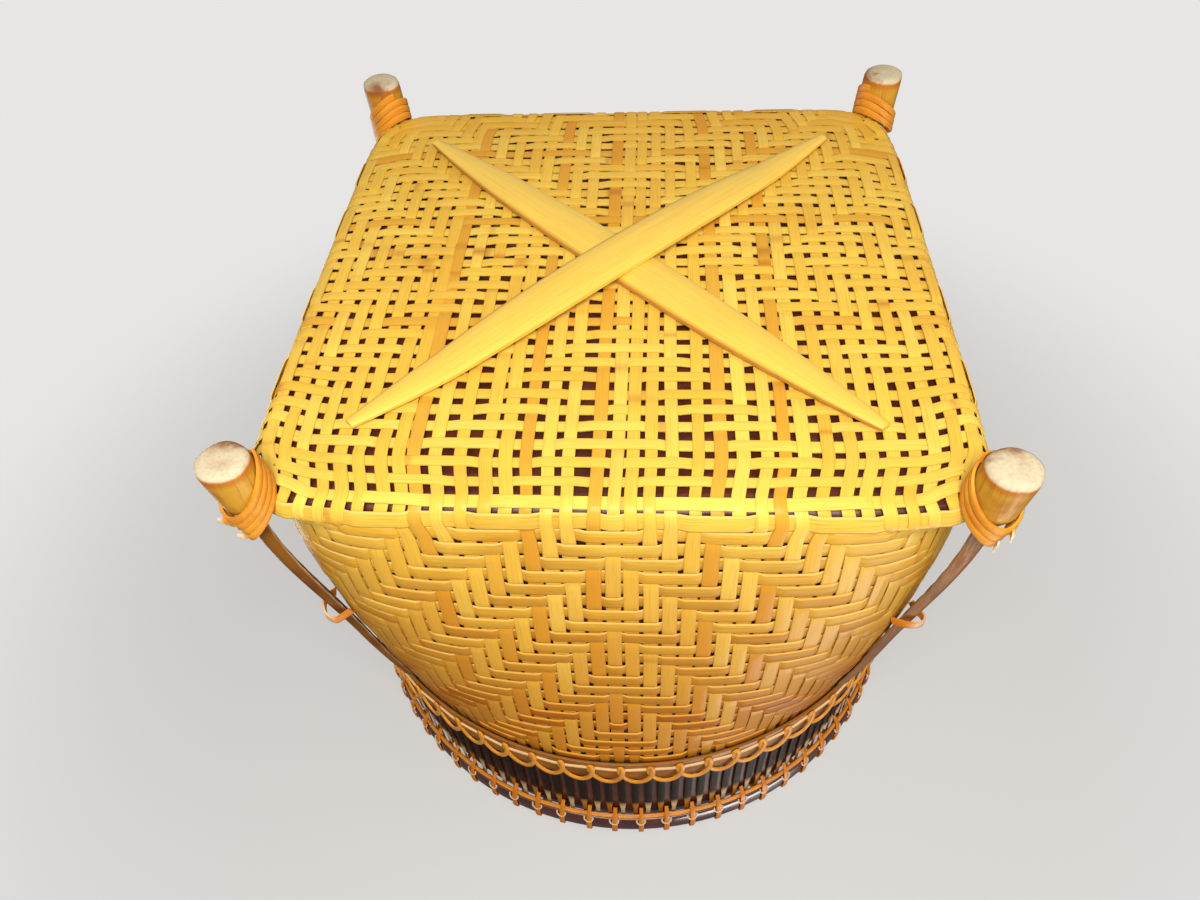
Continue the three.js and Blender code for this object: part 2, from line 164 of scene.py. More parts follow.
TABLE_HEIGHTS = np.linspace(EDGE_ROUND, EDGE_ROUND + SIDE_HEIGHT, 40)
SIDE_TABLE = np.array([even_angles(half_at(t), corner_at(t)) for t in TABLE_HEIGHTS])
FLAT_ANGLES = even_angles(FLAT_HALF, FLAT_CORNER)


def side_angle(q, t):
    """The angle at share q (-1 to 1) of a side, at height t over the base."""
    row = np.clip((t - EDGE_ROUND) / SIDE_HEIGHT, 0, 1) * (len(TABLE_HEIGHTS) - 1)
    col = np.clip((q + 1) / 2, 0, 1) * (ANGLE_STEPS - 1)
    r0 = np.minimum(row.astype(int), len(TABLE_HEIGHTS) - 2)
    c0 = np.minimum(col.astype(int), ANGLE_STEPS - 2)
    fr, fc = row - r0, col - c0
    low = mix(SIDE_TABLE[r0, c0], SIDE_TABLE[r0, c0 + 1], fc)
    high = mix(SIDE_TABLE[r0 + 1, c0], SIDE_TABLE[r0 + 1, c0 + 1], fc)
    return mix(low, high, fr)


def bend(flat_xy, out, over, reach):
    """A point of the flat sheet, over past the flat's edge, taken round the fold and up the side. reach
    goes from the flat's edge to the wall."""
    folded = np.clip(over, 0, FOLD) / EDGE_ROUND
    xy = flat_xy + reach * np.sin(folded)[..., None]
    t = EDGE_ROUND * (1 - np.cos(folded)) + np.maximum(over - FOLD, 0)
    normal = np.concatenate([out * np.sin(folded)[..., None], -np.cos(folded)[..., None]], -1)
    return np.concatenate([xy, t[..., None]], -1), normal


# The height over which the side's surface turns from the fold's direction to its own.
SLANT_FADE = 8.0


def on_side(q, w):
    """Share q of the +X side, w along the surface from the middle of the base."""
    q, w = np.broadcast_arrays(np.asarray(q, float), np.asarray(w, float))
    fx, fy, fn = outline(np.interp(q, SIDE_SHARES, FLAT_ANGLES), FLAT_HALF, FLAT_CORNER)
    flat = np.stack([fx, fy], -1)
    over = w - FLAT_HALF
    t = np.where(over > FOLD, EDGE_ROUND + over - FOLD, EDGE_ROUND)
    x, y, out = outline(side_angle(q, t), half_at(t), corner_at(t))
    wall = np.stack([x, y], -1)
    place, normal = bend(flat + fn * np.minimum(over, 0)[..., None], fn, over, wall - flat)
    left = (1 - smooth((t - EDGE_ROUND) / SLANT_FADE))[..., None]
    up = (over > FOLD)[..., None]
    place[..., :2] = np.where(up, wall, place[..., :2])
    flat_out = np.concatenate([out, np.zeros_like(t)[..., None]], -1)
    normal = np.where(up, unit(mix(flat_out, normal, left)), normal)
    return place, normal


def on_base(a, b):
    """Strip coordinates (a, b) on the base, folded over its edge."""
    u, v = a / SPAN, b / SPAN
    p = REACH * np.stack([u, v], -1) * (1 - CORNER_PULL * (u * v) ** 4)[..., None]
    angle = np.arctan2(p[..., 1], p[..., 0])
    flat_radius = radius_at(angle, FLAT_HALF, FLAT_CORNER)
    _, _, out = outline(angle, FLAT_HALF, FLAT_CORNER)
    facing = out[..., 0] * np.cos(angle) + out[..., 1] * np.sin(angle)
    over = np.maximum(np.hypot(p[..., 0], p[..., 1]) - flat_radius, 0) * facing
    reach = (radius_at(angle, BASE_HALF, BASE_CORNER) - flat_radius) * facing
    return bend(p - out * over[..., None], out, over, out * reach[..., None])


# The ways out at whole steps: the strips, the rounds, and on past the last round up the neck.
NECK_STEPS = 40
ROUND_PLACES = np.array([FIRST_ROUND + ROUND_STEP * k for k in range(ROUNDS)])
STEPS_OUT = np.concatenate([np.arange(LAST_ROUND + 1), [LAST_ROUND + NECK_STEPS]])
WAYS_OUT = np.concatenate([PITCH * np.arange(LAST + 1), ROUND_PLACES,
                           [ROUND_PLACES[-1] + ROUND_STEP * NECK_STEPS]])
# A strip leaves the base's surface after so many steps, and is on the side's so many later.
BASE_STEPS = 14
CHANGE_STEPS = 3.5


def on_strip(a, b):
    """A point of the strip at b that runs along X, a steps from the middle."""
    steps = np.abs(a)
    base, base_normal = on_base(steps, b)
    side, side_normal = on_side(b / SPAN, np.interp(steps, STEPS_OUT, WAYS_OUT))
    share = smooth((steps - BASE_STEPS) / CHANGE_STEPS)[..., None]
    place = mix(base, side, share)
    normal = unit(mix(base_normal, side_normal, share))
    mirror = np.where(a < 0, -1.0, 1.0)
    place[..., 0] *= mirror
    normal[..., 0] *= mirror
    return place, normal


def turned(points, angle):
    """Points turned about the axis, by one angle or by one each."""
    c, s = np.cos(angle), np.sin(angle)
    return np.stack([points[..., 0] * c - points[..., 1] * s,
                     points[..., 0] * s + points[..., 1] * c, points[..., 2]], -1)


# Meshes.
class Bundle:
    """Many swept strips that become one piece."""

    def __init__(self):
        self.points, self.quads, self.caps, self.count = [], [], [], 0
        self.values = {}

    def add(self, grid, looped=False, **values):
        """grid is stations x section points. A value is one number, one per station or a whole grid, and
        across is one per section point."""
        stations, around = grid.shape[:2]
        index = np.arange(stations * around).reshape(stations, around) + self.count
        nearer = index if looped else index[:-1]
        further = np.roll(index, -1, 0) if looped else index[1:]
        quads = np.stack([nearer, np.roll(nearer, -1, 1), np.roll(further, -1, 1), further], -1)
        self.quads.append(quads.reshape(-1, 4))
        if not looped:
            self.caps.append(index[0][::-1].tolist())
            self.caps.append(index[-1].tolist())
        self.points.append(grid.reshape(-1, 3))
        for name in sorted({*values, *self.values}):
            held = self.values.setdefault(name, [np.zeros(self.count)] if self.count else [])
            value = np.asarray(values.get(name, 0.0), float)
            if value.ndim == 1:
                value = value[None, :] if name == "across" else value[:, None]
            held.append(np.broadcast_to(value, (stations, around)).reshape(-1))
        self.count += stations * around

    def piece(self, name, material, slot, *nodes, sharp=38):
        mesh = bpy.data.meshes.new(name)
        faces = np.concatenate(self.quads).tolist() + self.caps
        mesh.from_pydata((np.concatenate(self.points) * MM).tolist(), [], faces)
        for key, held in self.values.items():
            attribute = mesh.attributes.new(key, "FLOAT", "POINT")
            attribute.data.foreach_set("value", np.concatenate(held).astype(np.float32))
        mesh.shade_smooth()
        mesh.set_sharp_from_angle(angle=math.radians(sharp))
        mesh.materials.append(material)
        made = bpy.data.objects.new(name, mesh)
        bpy.context.scene.collection.objects.link(made)
        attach(made, "root")
        if nodes:
            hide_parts(*nodes)


STRIP_SECTION = np.array([(-0.5, -0.5), (0.5, -0.5), (0.5, 0.25), (0.34, 0.5), (-0.34, 0.5), (-0.5, 0.25)])
BOWED_SECTION = np.array([(-0.5, -0.5), (0.5, -0.5), (0.5, -0.1), (0.3, 0.36), (0.0, 0.5), (-0.3, 0.36),
                          (-0.5, -0.1)])


def round_section(count):
    angles = circle(count)
    return np.stack([np.cos(angles), np.sin(angles)], -1) / 2


def sweep(path, normal, width, thick, section=STRIP_SECTION, looped=False):
    """The section carried along the path, its width across and its thickness along the normal."""
    if looped:
        ahead = unit(np.roll(path, -1, 0) - np.roll(path, 1, 0))
    else:
        ahead = unit(np.gradient(path, axis=0))
    across = unit(np.cross(normal, ahead))
    face = unit(np.cross(ahead, across))
    width = np.broadcast_to(np.asarray(width, float), len(path))
    thick = np.broadcast_to(np.asarray(thick, float), len(path))
    return (path[:, None] + across[:, None] * (section[None, :, :1] * width[:, None, None])
            + face[:, None] * (section[None, :, 1:] * thick[:, None, None]))


def distances(path):
    """How far along the path each point lies."""
    return np.concatenate([[0], np.cumsum(np.linalg.norm(np.diff(path, axis=0), axis=1))])


def run_of(path):
    """The distances in metres, which the grain of the materials is scaled to."""
    return distances(path) * MM


# Materials.
class Look:
    """A node material, with short names for the nodes that it uses."""

    def __init__(self, name, roughness, coat=0.0, specular=0.5):
        self.material = bpy.data.materials.new(name)
        self.material.use_nodes = True
        self.tree = self.material.node_tree
        self.shader = self.tree.nodes["Principled BSDF"]
        self.shader.inputs["Roughness"].default_value = roughness
        self.shader.inputs["Coat Weight"].default_value = coat
        self.shader.inputs["Coat Roughness"].default_value = 0.15
        self.shader.inputs["Specular IOR Level"].default_value = specular

    def node(self, kind, **settings):
        made = self.tree.nodes.new(kind)
        for key, value in settings.items():
            setattr(made, key, value)
        return made

    def put(self, socket, value):
        if isinstance(value, bpy.types.NodeSocket):
            self.tree.links.new(value, socket)
        elif isinstance(value, tuple) and len(value) == 3 and socket.type == "RGBA":
            socket.default_value = (*value, 1.0)
        else:
            socket.default_value = value

    def value(self, name):
        return self.node("ShaderNodeAttribute", attribute_name=name).outputs["Fac"]

    def place(self):
        return self.node("ShaderNodeTexCoord").outputs["Object"]

    def split(self, vector):
        return self.node_in("ShaderNodeSeparateXYZ", {0: vector}).outputs

    def node_in(self, kind, inputs, **settings):
        made = self.node(kind, **settings)
        for key, value in inputs.items():
            self.put(made.inputs[key], value)
        return made

    def math(self, kind, a, b=0.0):
        return self.node_in("ShaderNodeMath", {0: a, 1: b}, operation=kind).outputs[0]

    def vector(self, x, y, z=0.0):
        return self.node_in("ShaderNodeCombineXYZ", {0: x, 1: y, 2: z}).outputs[0]

    def drawn_out(self, level, up):
        """The place, scaled by one factor level and by another upright."""
        x, y, z = self.split(self.place())
        return self.vector(self.math("MULTIPLY", x, level), self.math("MULTIPLY", y, level),
                           self.math("MULTIPLY", z, up))

    def noise(self, vector, scale, detail=3.0, rough=0.55):
        made = self.node_in("ShaderNodeTexNoise", {
            "Vector": vector, "Scale": scale, "Detail": detail, "Roughness": rough})
        return made.outputs["Fac"]

    def span(self, value, low, high, to_low=0.0, to_high=1.0):
        made = self.node_in("ShaderNodeMapRange", {
            0: value, 1: low, 2: high, 3: to_low, 4: to_high}, interpolation_type="SMOOTHSTEP")
        return made.outputs[0]

    def blend(self, factor, a, b):
        return self.node_in("ShaderNodeMix", {0: factor, 6: a, 7: b}, data_type="RGBA").outputs[2]

    def bump(self, height, distance, strength=1.0, normal=None):
        made = self.node_in("ShaderNodeBump", {
            "Height": height, "Distance": distance, "Strength": strength})
        if normal is not None:
            self.put(made.inputs["Normal"], normal)
        return made.outputs["Normal"]

    def finish(self, colour, roughness, normal):
        self.put(self.shader.inputs["Base Color"], colour)
        self.put(self.shader.inputs["Roughness"], roughness)
        self.put(self.shader.inputs["Normal"], normal)
        return self.material


def fibre_vector(look, along_scale, across_scale):
    """Coordinates that run along a strip, so that noise in them becomes grain."""
    along = look.math("MULTIPLY", look.value("along"), along_scale)
    across = look.math("MULTIPLY", look.value("across"), across_scale)
    return look.vector(along, across, look.math("MULTIPLY", look.value("tint"), 97.0))


EDGE_PAINTED_SHADE = (0.22, 0.075, 0.008)
PALE_PITH_HIGHLIGHT = (0.86, 0.60, 0.17)
GOLD_PITH_HIGHLIGHT = (0.78, 0.38, 0.055)
JOINT_BROWN = (0.42, 0.115, 0.009)
# Painted shade: the near-black of the open neck, as under the rim's overhang.
NECK_PAINTED_SHADE = (0.014, 0.007, 0.004)
# Painted highlight: the cream of the lit stake ends under the cord.
LIT_TIP_CREAM = (0.72, 0.56, 0.33)
STAKE_ORANGE = (0.48, 0.155, 0.010)


def strip_look(name, pale, straw, gold, dark, roughness, coat, cut, pith):
    """cut is how far the strip's edges are darkened with painted shade, as between strips, and pith how far
    its
    low edge is painted pale: the pith's colour with a painted highlight, as lit from below.
    """
    look = Look(name, roughness, coat=coat, specular=0.08)
    fibres = look.noise(fibre_vector(look, 22.0, 5.0), 3.0, 4.0, 0.6)
    fine = look.noise(fibre_vector(look, 60.0, 26.0), 3.0, 2.0)
    stain = look.noise(look.place(), 26.0, 3.0)
    colour = look.blend(look.value("tint"), pale, straw)
    colour = look.blend(look.value("gold"), colour, gold)
    colour = look.blend(look.span(fibres, 0.42, 0.72, 0.0, 0.42), colour, dark)
    colour = look.blend(look.span(stain, 0.52, 0.75, 0.0, 0.28), colour, gold)
    colour = look.blend(look.span(fine, 0.5, 0.8, 0.0, 0.22), colour, dark)
    # The edges are darkened with painted shade, as between strips.
    edge = look.math("ABSOLUTE", look.value("across"))
    colour = look.blend(look.span(edge, 0.4, 0.5, 0.0, cut), colour, EDGE_PAINTED_SHADE)
    # The low edge is painted pale: the pith's colour with a painted highlight, as lit from below.
    low_edge_highlight = look.span(look.value("across"), -0.36, -0.46, 0.0, pith)
    colour = look.blend(low_edge_highlight, colour, look.blend(look.value("gold"), PALE_PITH_HIGHLIGHT, GOLD_PITH_HIGHLIGHT))
    # The culms' joints are their own brown. The rest is partly painted light: painted shade over the open
    # neck, a painted highlight on the stakes' ends under the cord, and orange that is partly the bamboo's own
    # colour and partly painted shade of the light falling off up the sides.
    for key, tone in (("mark", JOINT_BROWN), ("dusk", NECK_PAINTED_SHADE), ("tip", LIT_TIP_CREAM),
                      ("warm", STAKE_ORANGE)):
        colour = look.blend(look.value(key), colour, tone)
    height = look.math("ADD", fibres, look.math("MULTIPLY", fine, 0.5))
    normal = look.bump(height, 0.00012, 0.55)
    rough = look.span(fibres, 0.3, 0.7, roughness - 0.06, roughness + 0.14)
    return look.finish(colour, rough, normal)


STRAW = strip_look("bamboo_straw", pale=(0.88, 0.62, 0.105), straw=(0.84, 0.53, 0.065),
                   gold=(0.66, 0.285, 0.02), dark=(0.52, 0.25, 0.03),
                   roughness=0.38, coat=0.14, cut=0.2, pith=0.0)
ROUND_LOOK = strip_look("bamboo_rounds", pale=(0.84, 0.54, 0.075), straw=(0.78, 0.42, 0.04),
                        gold=(0.38, 0.11, 0.004), dark=(0.34, 0.12, 0.010),
                        roughness=0.4, coat=0.05, cut=0.7, pith=0.9)


def rattan_look(name, light, deep):
    look = Look(name, 0.38, coat=0.1, specular=0.2)
    fibres = look.noise(fibre_vector(look, 26.0, 6.0), 3.0, 4.0, 0.6)
    blotch = look.noise(look.place(), 90.0, 3.0)
    colour = look.blend(look.span(fibres, 0.35, 0.7), light, deep)
    colour = look.blend(look.span(blotch, 0.5, 0.72, 0.0, 0.45), colour, (0.45, 0.12, 0.015))
    colour = look.blend(look.value("tip"), colour, (0.80, 0.66, 0.42))
    rough = look.span(fibres, 0.3, 0.7, 0.3, 0.48)
    return look.finish(colour, rough, look.bump(fibres, 0.00015, 0.6))


RATTAN = rattan_look("rattan_orange", light=(0.68, 0.235, 0.016), deep=(0.50, 0.13, 0.009))
RATTAN_PALE = rattan_look("rattan_pale", light=(0.80, 0.35, 0.035), deep=(0.62, 0.21, 0.014))
RATTAN_BAND = rattan_look("rattan_band", light=(0.30, 0.115, 0.011), deep=(0.20, 0.065, 0.006))


def leg_look():
    """A golden rod with an orange ring round its pale cut end, which turns brown where it is split."""
    look = Look("bamboo_legs", 0.45, specular=0.2)
    place = look.place()
    z = look.split(place)[2]
    grain = look.noise(look.drawn_out(900.0, 60.0), 1.0, 4.0, 0.6)
    cloud = look.noise(place, 70.0, 4.0)
    golden = look.blend(look.span(cloud, 0.42, 0.7), (0.57, 0.29, 0.026), (0.44, 0.155, 0.010))
    brown = look.blend(look.span(cloud, 0.35, 0.7), (0.28, 0.10, 0.008), (0.17, 0.055, 0.005))
    colour = look.blend(look.span(z, 0.0055, 0.0025, 0.0, 0.8), golden, (0.44, 0.125, 0.010))
    colour = look.blend(look.span(z, 0.012, 0.030), colour, brown)
    colour = look.blend(look.span(grain, 0.5, 0.75, 0.0, 0.5), colour, (0.22, 0.06, 0.008))
    edge = look.math("ADD", z, look.math("MULTIPLY", cloud, 0.0024))
    cream = look.blend(look.span(grain, 0.45, 0.7, 0.0, 0.5), (0.62, 0.52, 0.345), (0.47, 0.335, 0.18))
    colour = look.blend(look.span(edge, 0.0034, 0.0024), colour, cream)
    pith = look.blend(look.span(grain, 0.4, 0.7), (0.36, 0.24, 0.11), (0.19, 0.105, 0.04))
    colour = look.blend(look.value("split"), colour, pith)
    flaked = look.math("MULTIPLY", look.value("flaked"), look.span(cloud, 0.46, 0.62))
    colour = look.blend(flaked, colour, (0.26, 0.085, 0.02))
    rough = look.span(grain, 0.35, 0.7, 0.34, 0.6)
    return look.finish(colour, rough, look.bump(grain, 0.0003, 0.6))


def lacquer_look(name, base, painted_sheen, roughness, coat):
    look = Look(name, roughness, coat=coat)
    look.shader.inputs["Coat Roughness"].default_value = 0.12
    place = look.place()
    sheen_streak = look.noise(look.drawn_out(160.0, 22.0), 1.0, 4.0, 0.6)
    cloud = look.noise(place, 34.0, 4.0)
    fine = look.noise(place, 700.0, 2.0)
    # Lighter streaks are painted sheen on the lacquer; the same streaks also give its bump.
    colour = look.blend(look.span(sheen_streak, 0.35, 0.7), base, painted_sheen)
    colour = look.blend(look.span(cloud, 0.5, 0.75, 0.0, 0.5), colour, tuple(0.45 * v for v in base))
    rough = look.span(cloud, 0.3, 0.7, roughness - 0.06, roughness + 0.16)
    normal = look.bump(sheen_streak, 0.0006, 0.35)
    return look.finish(colour, rough, look.bump(fine, 0.00006, 0.3, normal))


LEG_LOOK = leg_look()
LACQUER = lacquer_look("lacquer_dark", base=(0.075, 0.014, 0.009), painted_sheen=(0.125, 0.026, 0.014),
                       roughness=0.2, coat=0.8)
LINING = lacquer_look("lacquer_lining", base=(0.065, 0.013, 0.006), painted_sheen=(0.115, 0.027, 0.012),
                      roughness=0.3, coat=0.4)


def batten_look():
    look = Look("bamboo_battens", 0.34, coat=0.2)
    fibres = look.noise(fibre_vector(look, 14.0, 9.0), 3.0, 4.0, 0.6)
    fine = look.noise(fibre_vector(look, 40.0, 60.0), 3.0, 2.0)
    colour = look.blend(look.span(fibres, 0.35, 0.7), (0.86, 0.57, 0.085), (0.80, 0.49, 0.06))
    colour = look.blend(look.span(fine, 0.56, 0.8, 0.0, 0.12), colour, (0.56, 0.29, 0.035))
    colour = look.blend(look.value("skin"), colour, (0.46, 0.17, 0.018))
    rough = look.span(fibres, 0.3, 0.7, 0.28, 0.45)
    height = look.math("ADD", fibres, look.math("MULTIPLY", fine, 0.6))
    return look.finish(colour, rough, look.bump(height, 0.00014, 0.35))


BATTEN_LOOK = batten_look()

# The plaited strips.

# How far the strips of the photographed base stand off their even places, in steps, from the
# photograph's left to its right; the rest only wander a little.
LEFT_TO_RIGHT = (-0.4, -0.3, -0.1, 0.14, 0.0, 0.05, 0.0, 0.0, 0.41, 0.26,
                 0.02, -0.12, -0.2, 0.08, 0.06, 0.05, 0.17, 0.06, -0.1)
GOLD_COLUMNS = (-9, -4, -1, 5, 8)
GOLD_ROWS = (-6, 3, 11)
ROW_DRIFT = 1.35
WANDER = 0.08
KEPT_STEPS = 13


def strip_shifts(shifts, drift):
    """How far each strip stands off its even place; drift moves the middle ones over more."""
    held = {}
    for k in range(-LAST, LAST + 1):
        held[k] = shifts.get(k, rng.uniform(-WANDER, WANDER)) + drift * (1 - (k / SPAN) ** 2)
    return held


# The rows drift to the back, so that they lie further apart towards the front of the base.
columns = strip_shifts({len(LEFT_TO_RIGHT) // 2 - k: -shift for k, shift in enumerate(LEFT_TO_RIGHT)}, 0.0)
rows = strip_shifts({}, ROW_DRIFT)


def kept(steps):
    """The share of its shift that a strip keeps, so many steps from the middle of the base."""
    return 1 - smooth((np.abs(steps) - KEPT_STEPS) / KEPT_STEPS)


def shows(a, b):
    """Whether the b-th strip along X shows outside where it crosses the a-th strip along Y."""
    return (abs(a) - abs(b)) % REPEAT in (4, 5, 0)


# A strip lies level this far to each side of a crossing's middle, in steps.
LEVEL = 0.22
PER_CROSSING = 4


def weave_height(index, sign_at):
    """+1 outside and -1 inside, level over each crossing and swinging between two."""
    low = np.floor(index).astype(int)
    first = np.array([sign_at(int(k)) for k in low])
    second = np.array([sign_at(int(k) + 1) for k in low])
    return mix(first, second, smooth((index - low - LEVEL) / (1 - 2 * LEVEL)))


def crossing_steps(end):
    """Stations four to a crossing, then a few up the open neck."""
    inner = np.arange(0, (LAST_ROUND + 1) * PER_CROSSING + 1) / PER_CROSSING
    outer = np.linspace(LAST_ROUND + 1.5, end, 9)
    half = np.concatenate([inner, outer])
    return np.concatenate([-half[:0:-1], half])


TOP_WAY = STAKE_TOP - FOOT_HEIGHT - EDGE_ROUND + WALL_START
STATIONS = crossing_steps(LAST_ROUND + (TOP_WAY - ROUND_PLACES[-1]) / ROUND_STEP)


def stray(count, size):
    """A slow wander along a strip, of two waves."""
    first, second = rng.uniform(0, TURN), rng.uniform(0, TURN)
    s = np.linspace(0, 1, count)
    return size * (np.sin(first + s * TURN * 2.3) + 0.6 * np.sin(second + s * TURN * 5.1)) / 1.6


def marks_on(run, spacing, size=0.0011):
    """Brown joints of the culm, where they fall on the strip."""
    start = rng.uniform(0, spacing)
    near = np.abs((run - start + spacing / 2) % spacing - spacing / 2)
    return np.clip(1.4 - near / size, 0, 1)


# Brown joints of the culms that lie together on the photographed base. Each row runs from one place to
# another and has so many joints.
JOINT_ROWS = (((101, 15), (69, 1), 6), ((57, 11), (35, 1), 4), ((4, 44), (-2, 36), 2),
              ((-48, 0), (-54, 14), 3), ((15, -25), (-8, -65), 4))
JOINTS = [place for first, last, count in JOINT_ROWS for place in np.linspace(first, last, count)]
JOINT_SIZE = 2.6
JOINT_SQUASH = 1.4


def joints_on(points):
    """How brown a strip is where it passes the joints of the base."""
    near = np.min([np.hypot(points[:, 0] - x, (points[:, 1] - y) * JOINT_SQUASH) for x, y in JOINTS], axis=0)
    return np.clip(1.5 - near / JOINT_SIZE, 0, 1) * (points[:, 2] < FOOT_HEIGHT + 3)


# A strip's width on the base, up the side and in the open neck. It is narrower towards the front of the
# base, where the photographed holes are larger, and at its tip behind the rim.
PLAIT_WIDTHS = (3.8, 4.35)
SIDE_WIDTH = 4.6
NECK_WIDTH = 3.0
FRONT_NARROWED = 0.15
TIP_NARROWED = 0.4
TIP_HEIGHT = 203.0
TIP_FADE = 1.2
# How far the stakes' ends under the cord are painted lighter, a painted highlight where light falls on them.
TIP_COLOURED = 0.85


def plait(bundle, number, shift, crossed, along_x, gold):
    """One strip, from the rim across the base to the rim on the other side. crossed has the shifts of
    the strips that it crosses."""
    numbers = range(-LAST, LAST + 1)
    index = np.interp(STATIONS, [k + crossed[k] for k in numbers], numbers)
    index = np.where(np.abs(STATIONS) > LAST, STATIONS, index)
    b = number + shift * kept(STATIONS) + stray(len(STATIONS), 0.05)
    points, normal = on_strip(STATIONS, b)

    def side_of(k):
        if abs(k) > LAST_ROUND:
            return 0.0
        outside = shows(k, number) if along_x else not shows(number, k)
        return 1.0 if outside else -1.0

    height = weave_height(index, side_of) * SWING
    steps = np.abs(STATIONS)
    neck = smooth((steps - LAST_ROUND) / 1.5)
    depth = mix(DEPTH, NECK_RADIUS - STAKE_RADIUS, neck)
    points = points + normal * (height - depth)[:, None]
    points[:, 2] += FOOT_HEIGHT
    run = run_of(points)
    width = rng.uniform(*PLAIT_WIDTHS)
    amber = rng.uniform(0.35, 1.0)
    front = np.clip(points[:, 1 if along_x else 0] / -BASE_HALF, 0, 1)
    breadth = width * (1 - FRONT_NARROWED * front ** 2) * (1 + stray(len(STATIONS), 0.05))
    breadth = mix(breadth, SIDE_WIDTH, smooth((steps - LAST) / 4))
    breadth = mix(breadth, NECK_WIDTH, smooth((steps - LAST_ROUND + 2) / 3))
    end_tip = smooth((points[:, 2] - TIP_HEIGHT) / TIP_FADE)
    breadth = breadth * (1 - TIP_NARROWED * end_tip)
    mark = marks_on(run, rng.uniform(0.22, 0.34))
    if not along_x:
        points, normal = turned(points, math.pi / 2), turned(normal, math.pi / 2)

    # The base is painted deeper gold towards its back, painted shade where the light falls off. Up the sides
    # the stakes turn deeper orange, partly the bamboo's own colour and partly painted shade of the light
    # falling off towards the neck. The open neck is painted dark, painted shade, and the stakes' ends under
    # the cord are painted lighter, a painted highlight: cream on every other stake and orange on the rest.
    on_wall = smooth((steps - LAST + 1) / 4)
    high = np.clip((steps - LAST) / ROUNDS, 0, 1)
    rear_painted_falloff = 0.3 * np.clip(points[:, 1] / BASE_HALF, 0, 1) * (1 - on_wall)
    glow = np.clip(gold + rear_painted_falloff + 0.1 * on_wall + amber * high + stray(len(STATIONS), 0.08), 0, 1)
    cream = (number % 2 != 0) == along_x
    tip = end_tip * TIP_COLOURED
    # Deeper orange up the sides: partly the bamboo's own colour, partly painted shade of the light falling
    # off.
    orange = (0.3 + 0.6 * amber) * high ** 1.3 * (1 - neck)
    tint, along = rng.random(), run + rng.random() * 9
    mark = np.maximum(mark * rng.uniform(0.25, 0.6), joints_on(points) * rng.uniform(0.3, 0.9))
    bundle.add(sweep(points, normal, breadth, STRIP_THICK), tint=tint, gold=glow, along=along,
               across=STRIP_SECTION[:, 0], mark=mark, dusk=neck * (1 - end_tip),
               tip=tip if cream else 0.0, warm=orange if cream else np.maximum(tip, orange))


for first, last, name in ((-LAST, -1, "plaits_x_front"), (0, LAST, "plaits_x_back")):
    bundle = Bundle()
    for number in range(first, last + 1):
        gold = 0.62 if number in GOLD_ROWS else rng.uniform(0.0, 0.2)
        plait(bundle, number, rows[number], columns, True, gold)
    bundle.piece(name, STRAW, "bamboo_straw", "woven_body", "neck_stakes")

# A strip along Y at x is the strip along X at -x, turned a quarter.
for first, last, name in ((-LAST, -1, "plaits_y_left"), (0, LAST, "plaits_y_right")):
    bundle = Bundle()
    for number in range(first, last + 1):
        photo_column = -number
        gold = 0.72 if photo_column in GOLD_COLUMNS else rng.uniform(0.0, 0.22)
        plait(bundle, -number, -columns[number], rows, False, gold)
    bundle.piece(name, STRAW, "bamboo_straw", "woven_body", "neck_stakes")

# A round's width and thickness low on the sides and near the neck, and the round from which they change.
ROUND_WIDTHS = (5.4, 4.05)
ROUND_THICKS = (0.62, 0.8)
CHANGE_FROM = 16
ROUND_STRAY = 0.35


def weft(bundle, number):
    """One round of the sides, woven in and out of the 140 stakes."""
    stations = np.arange(STAKES * PER_CROSSING) / PER_CROSSING
    side = (stations // PER_SIDE).astype(int)
    local = stations % PER_SIDE - SPAN
    w = ROUND_PLACES[number - 1] + stray(len(stations), ROUND_STRAY) * np.sin(np.pi * stations / STAKES) ** 2
    place, normal = on_side(local / SPAN, w)

    index = np.empty_like(stations)
    share = kept(LAST + number)
    numbers = range(-LAST, LAST + 1)
    for k, (stakes, flip) in enumerate(((rows, 1), (columns, -1), (rows, -1), (columns, 1))):
        places = [c + flip * stakes[flip * c] * share for c in numbers]
        index = np.where(side == k, PER_SIDE * k + SPAN + np.interp(local, places, numbers), index)
    index = np.where(np.abs(local) > LAST, stations, index)

    def sign_at(k):
        stake_side, c = divmod(k % STAKES, PER_SIDE)
        rise = LAST + number - abs(c - LAST)
        outside = rise % REPEAT in (1, 2, 3) if stake_side % 2 == 0 else -rise % REPEAT in (4, 5, 0)
        return 1.0 if outside else -1.0

    height = weave_height(index - 0.5, sign_at) * ROUND_SWING
    points = place + normal * (height - DEPTH)[:, None]
    points[:, 2] += FOOT_HEIGHT
    quarter = side * math.pi / 2
    points, normal = turned(points, quarter), turned(normal, quarter)
    high = smooth((number - CHANGE_FROM) / (ROUNDS - CHANGE_FROM))
    width = mix(*ROUND_WIDTHS, high) * (1 + 0.04 * rng.uniform(-1, 1))
    run = run_of(points)
    grid = sweep(points, normal, width, mix(*ROUND_THICKS, high), BOWED_SECTION, looped=True)
    # The rounds turn deeper gold towards the neck: partly the bamboo's own colour, partly painted shade of
    # the light falling off.
    gold = np.clip(0.08 + 1.0 * number / ROUNDS + rng.uniform(-0.18, 0.2), 0, 1)
    tint, along = rng.random(), run + rng.random() * 9
    mark = marks_on(run, rng.uniform(0.24, 0.36)) * rng.uniform(0.2, 0.6)
    bundle.add(grid, looped=True, tint=tint, gold=gold, along=along, across=BOWED_SECTION[:, 0], mark=mark,
               dusk=0.0, tip=0.0, warm=0.0)


bundle = Bundle()
for number in range(1, ROUNDS + 1):
    weft(bundle, number)
bundle.piece("side_rounds", ROUND_LOOK, "bamboo_straw", "woven_body")


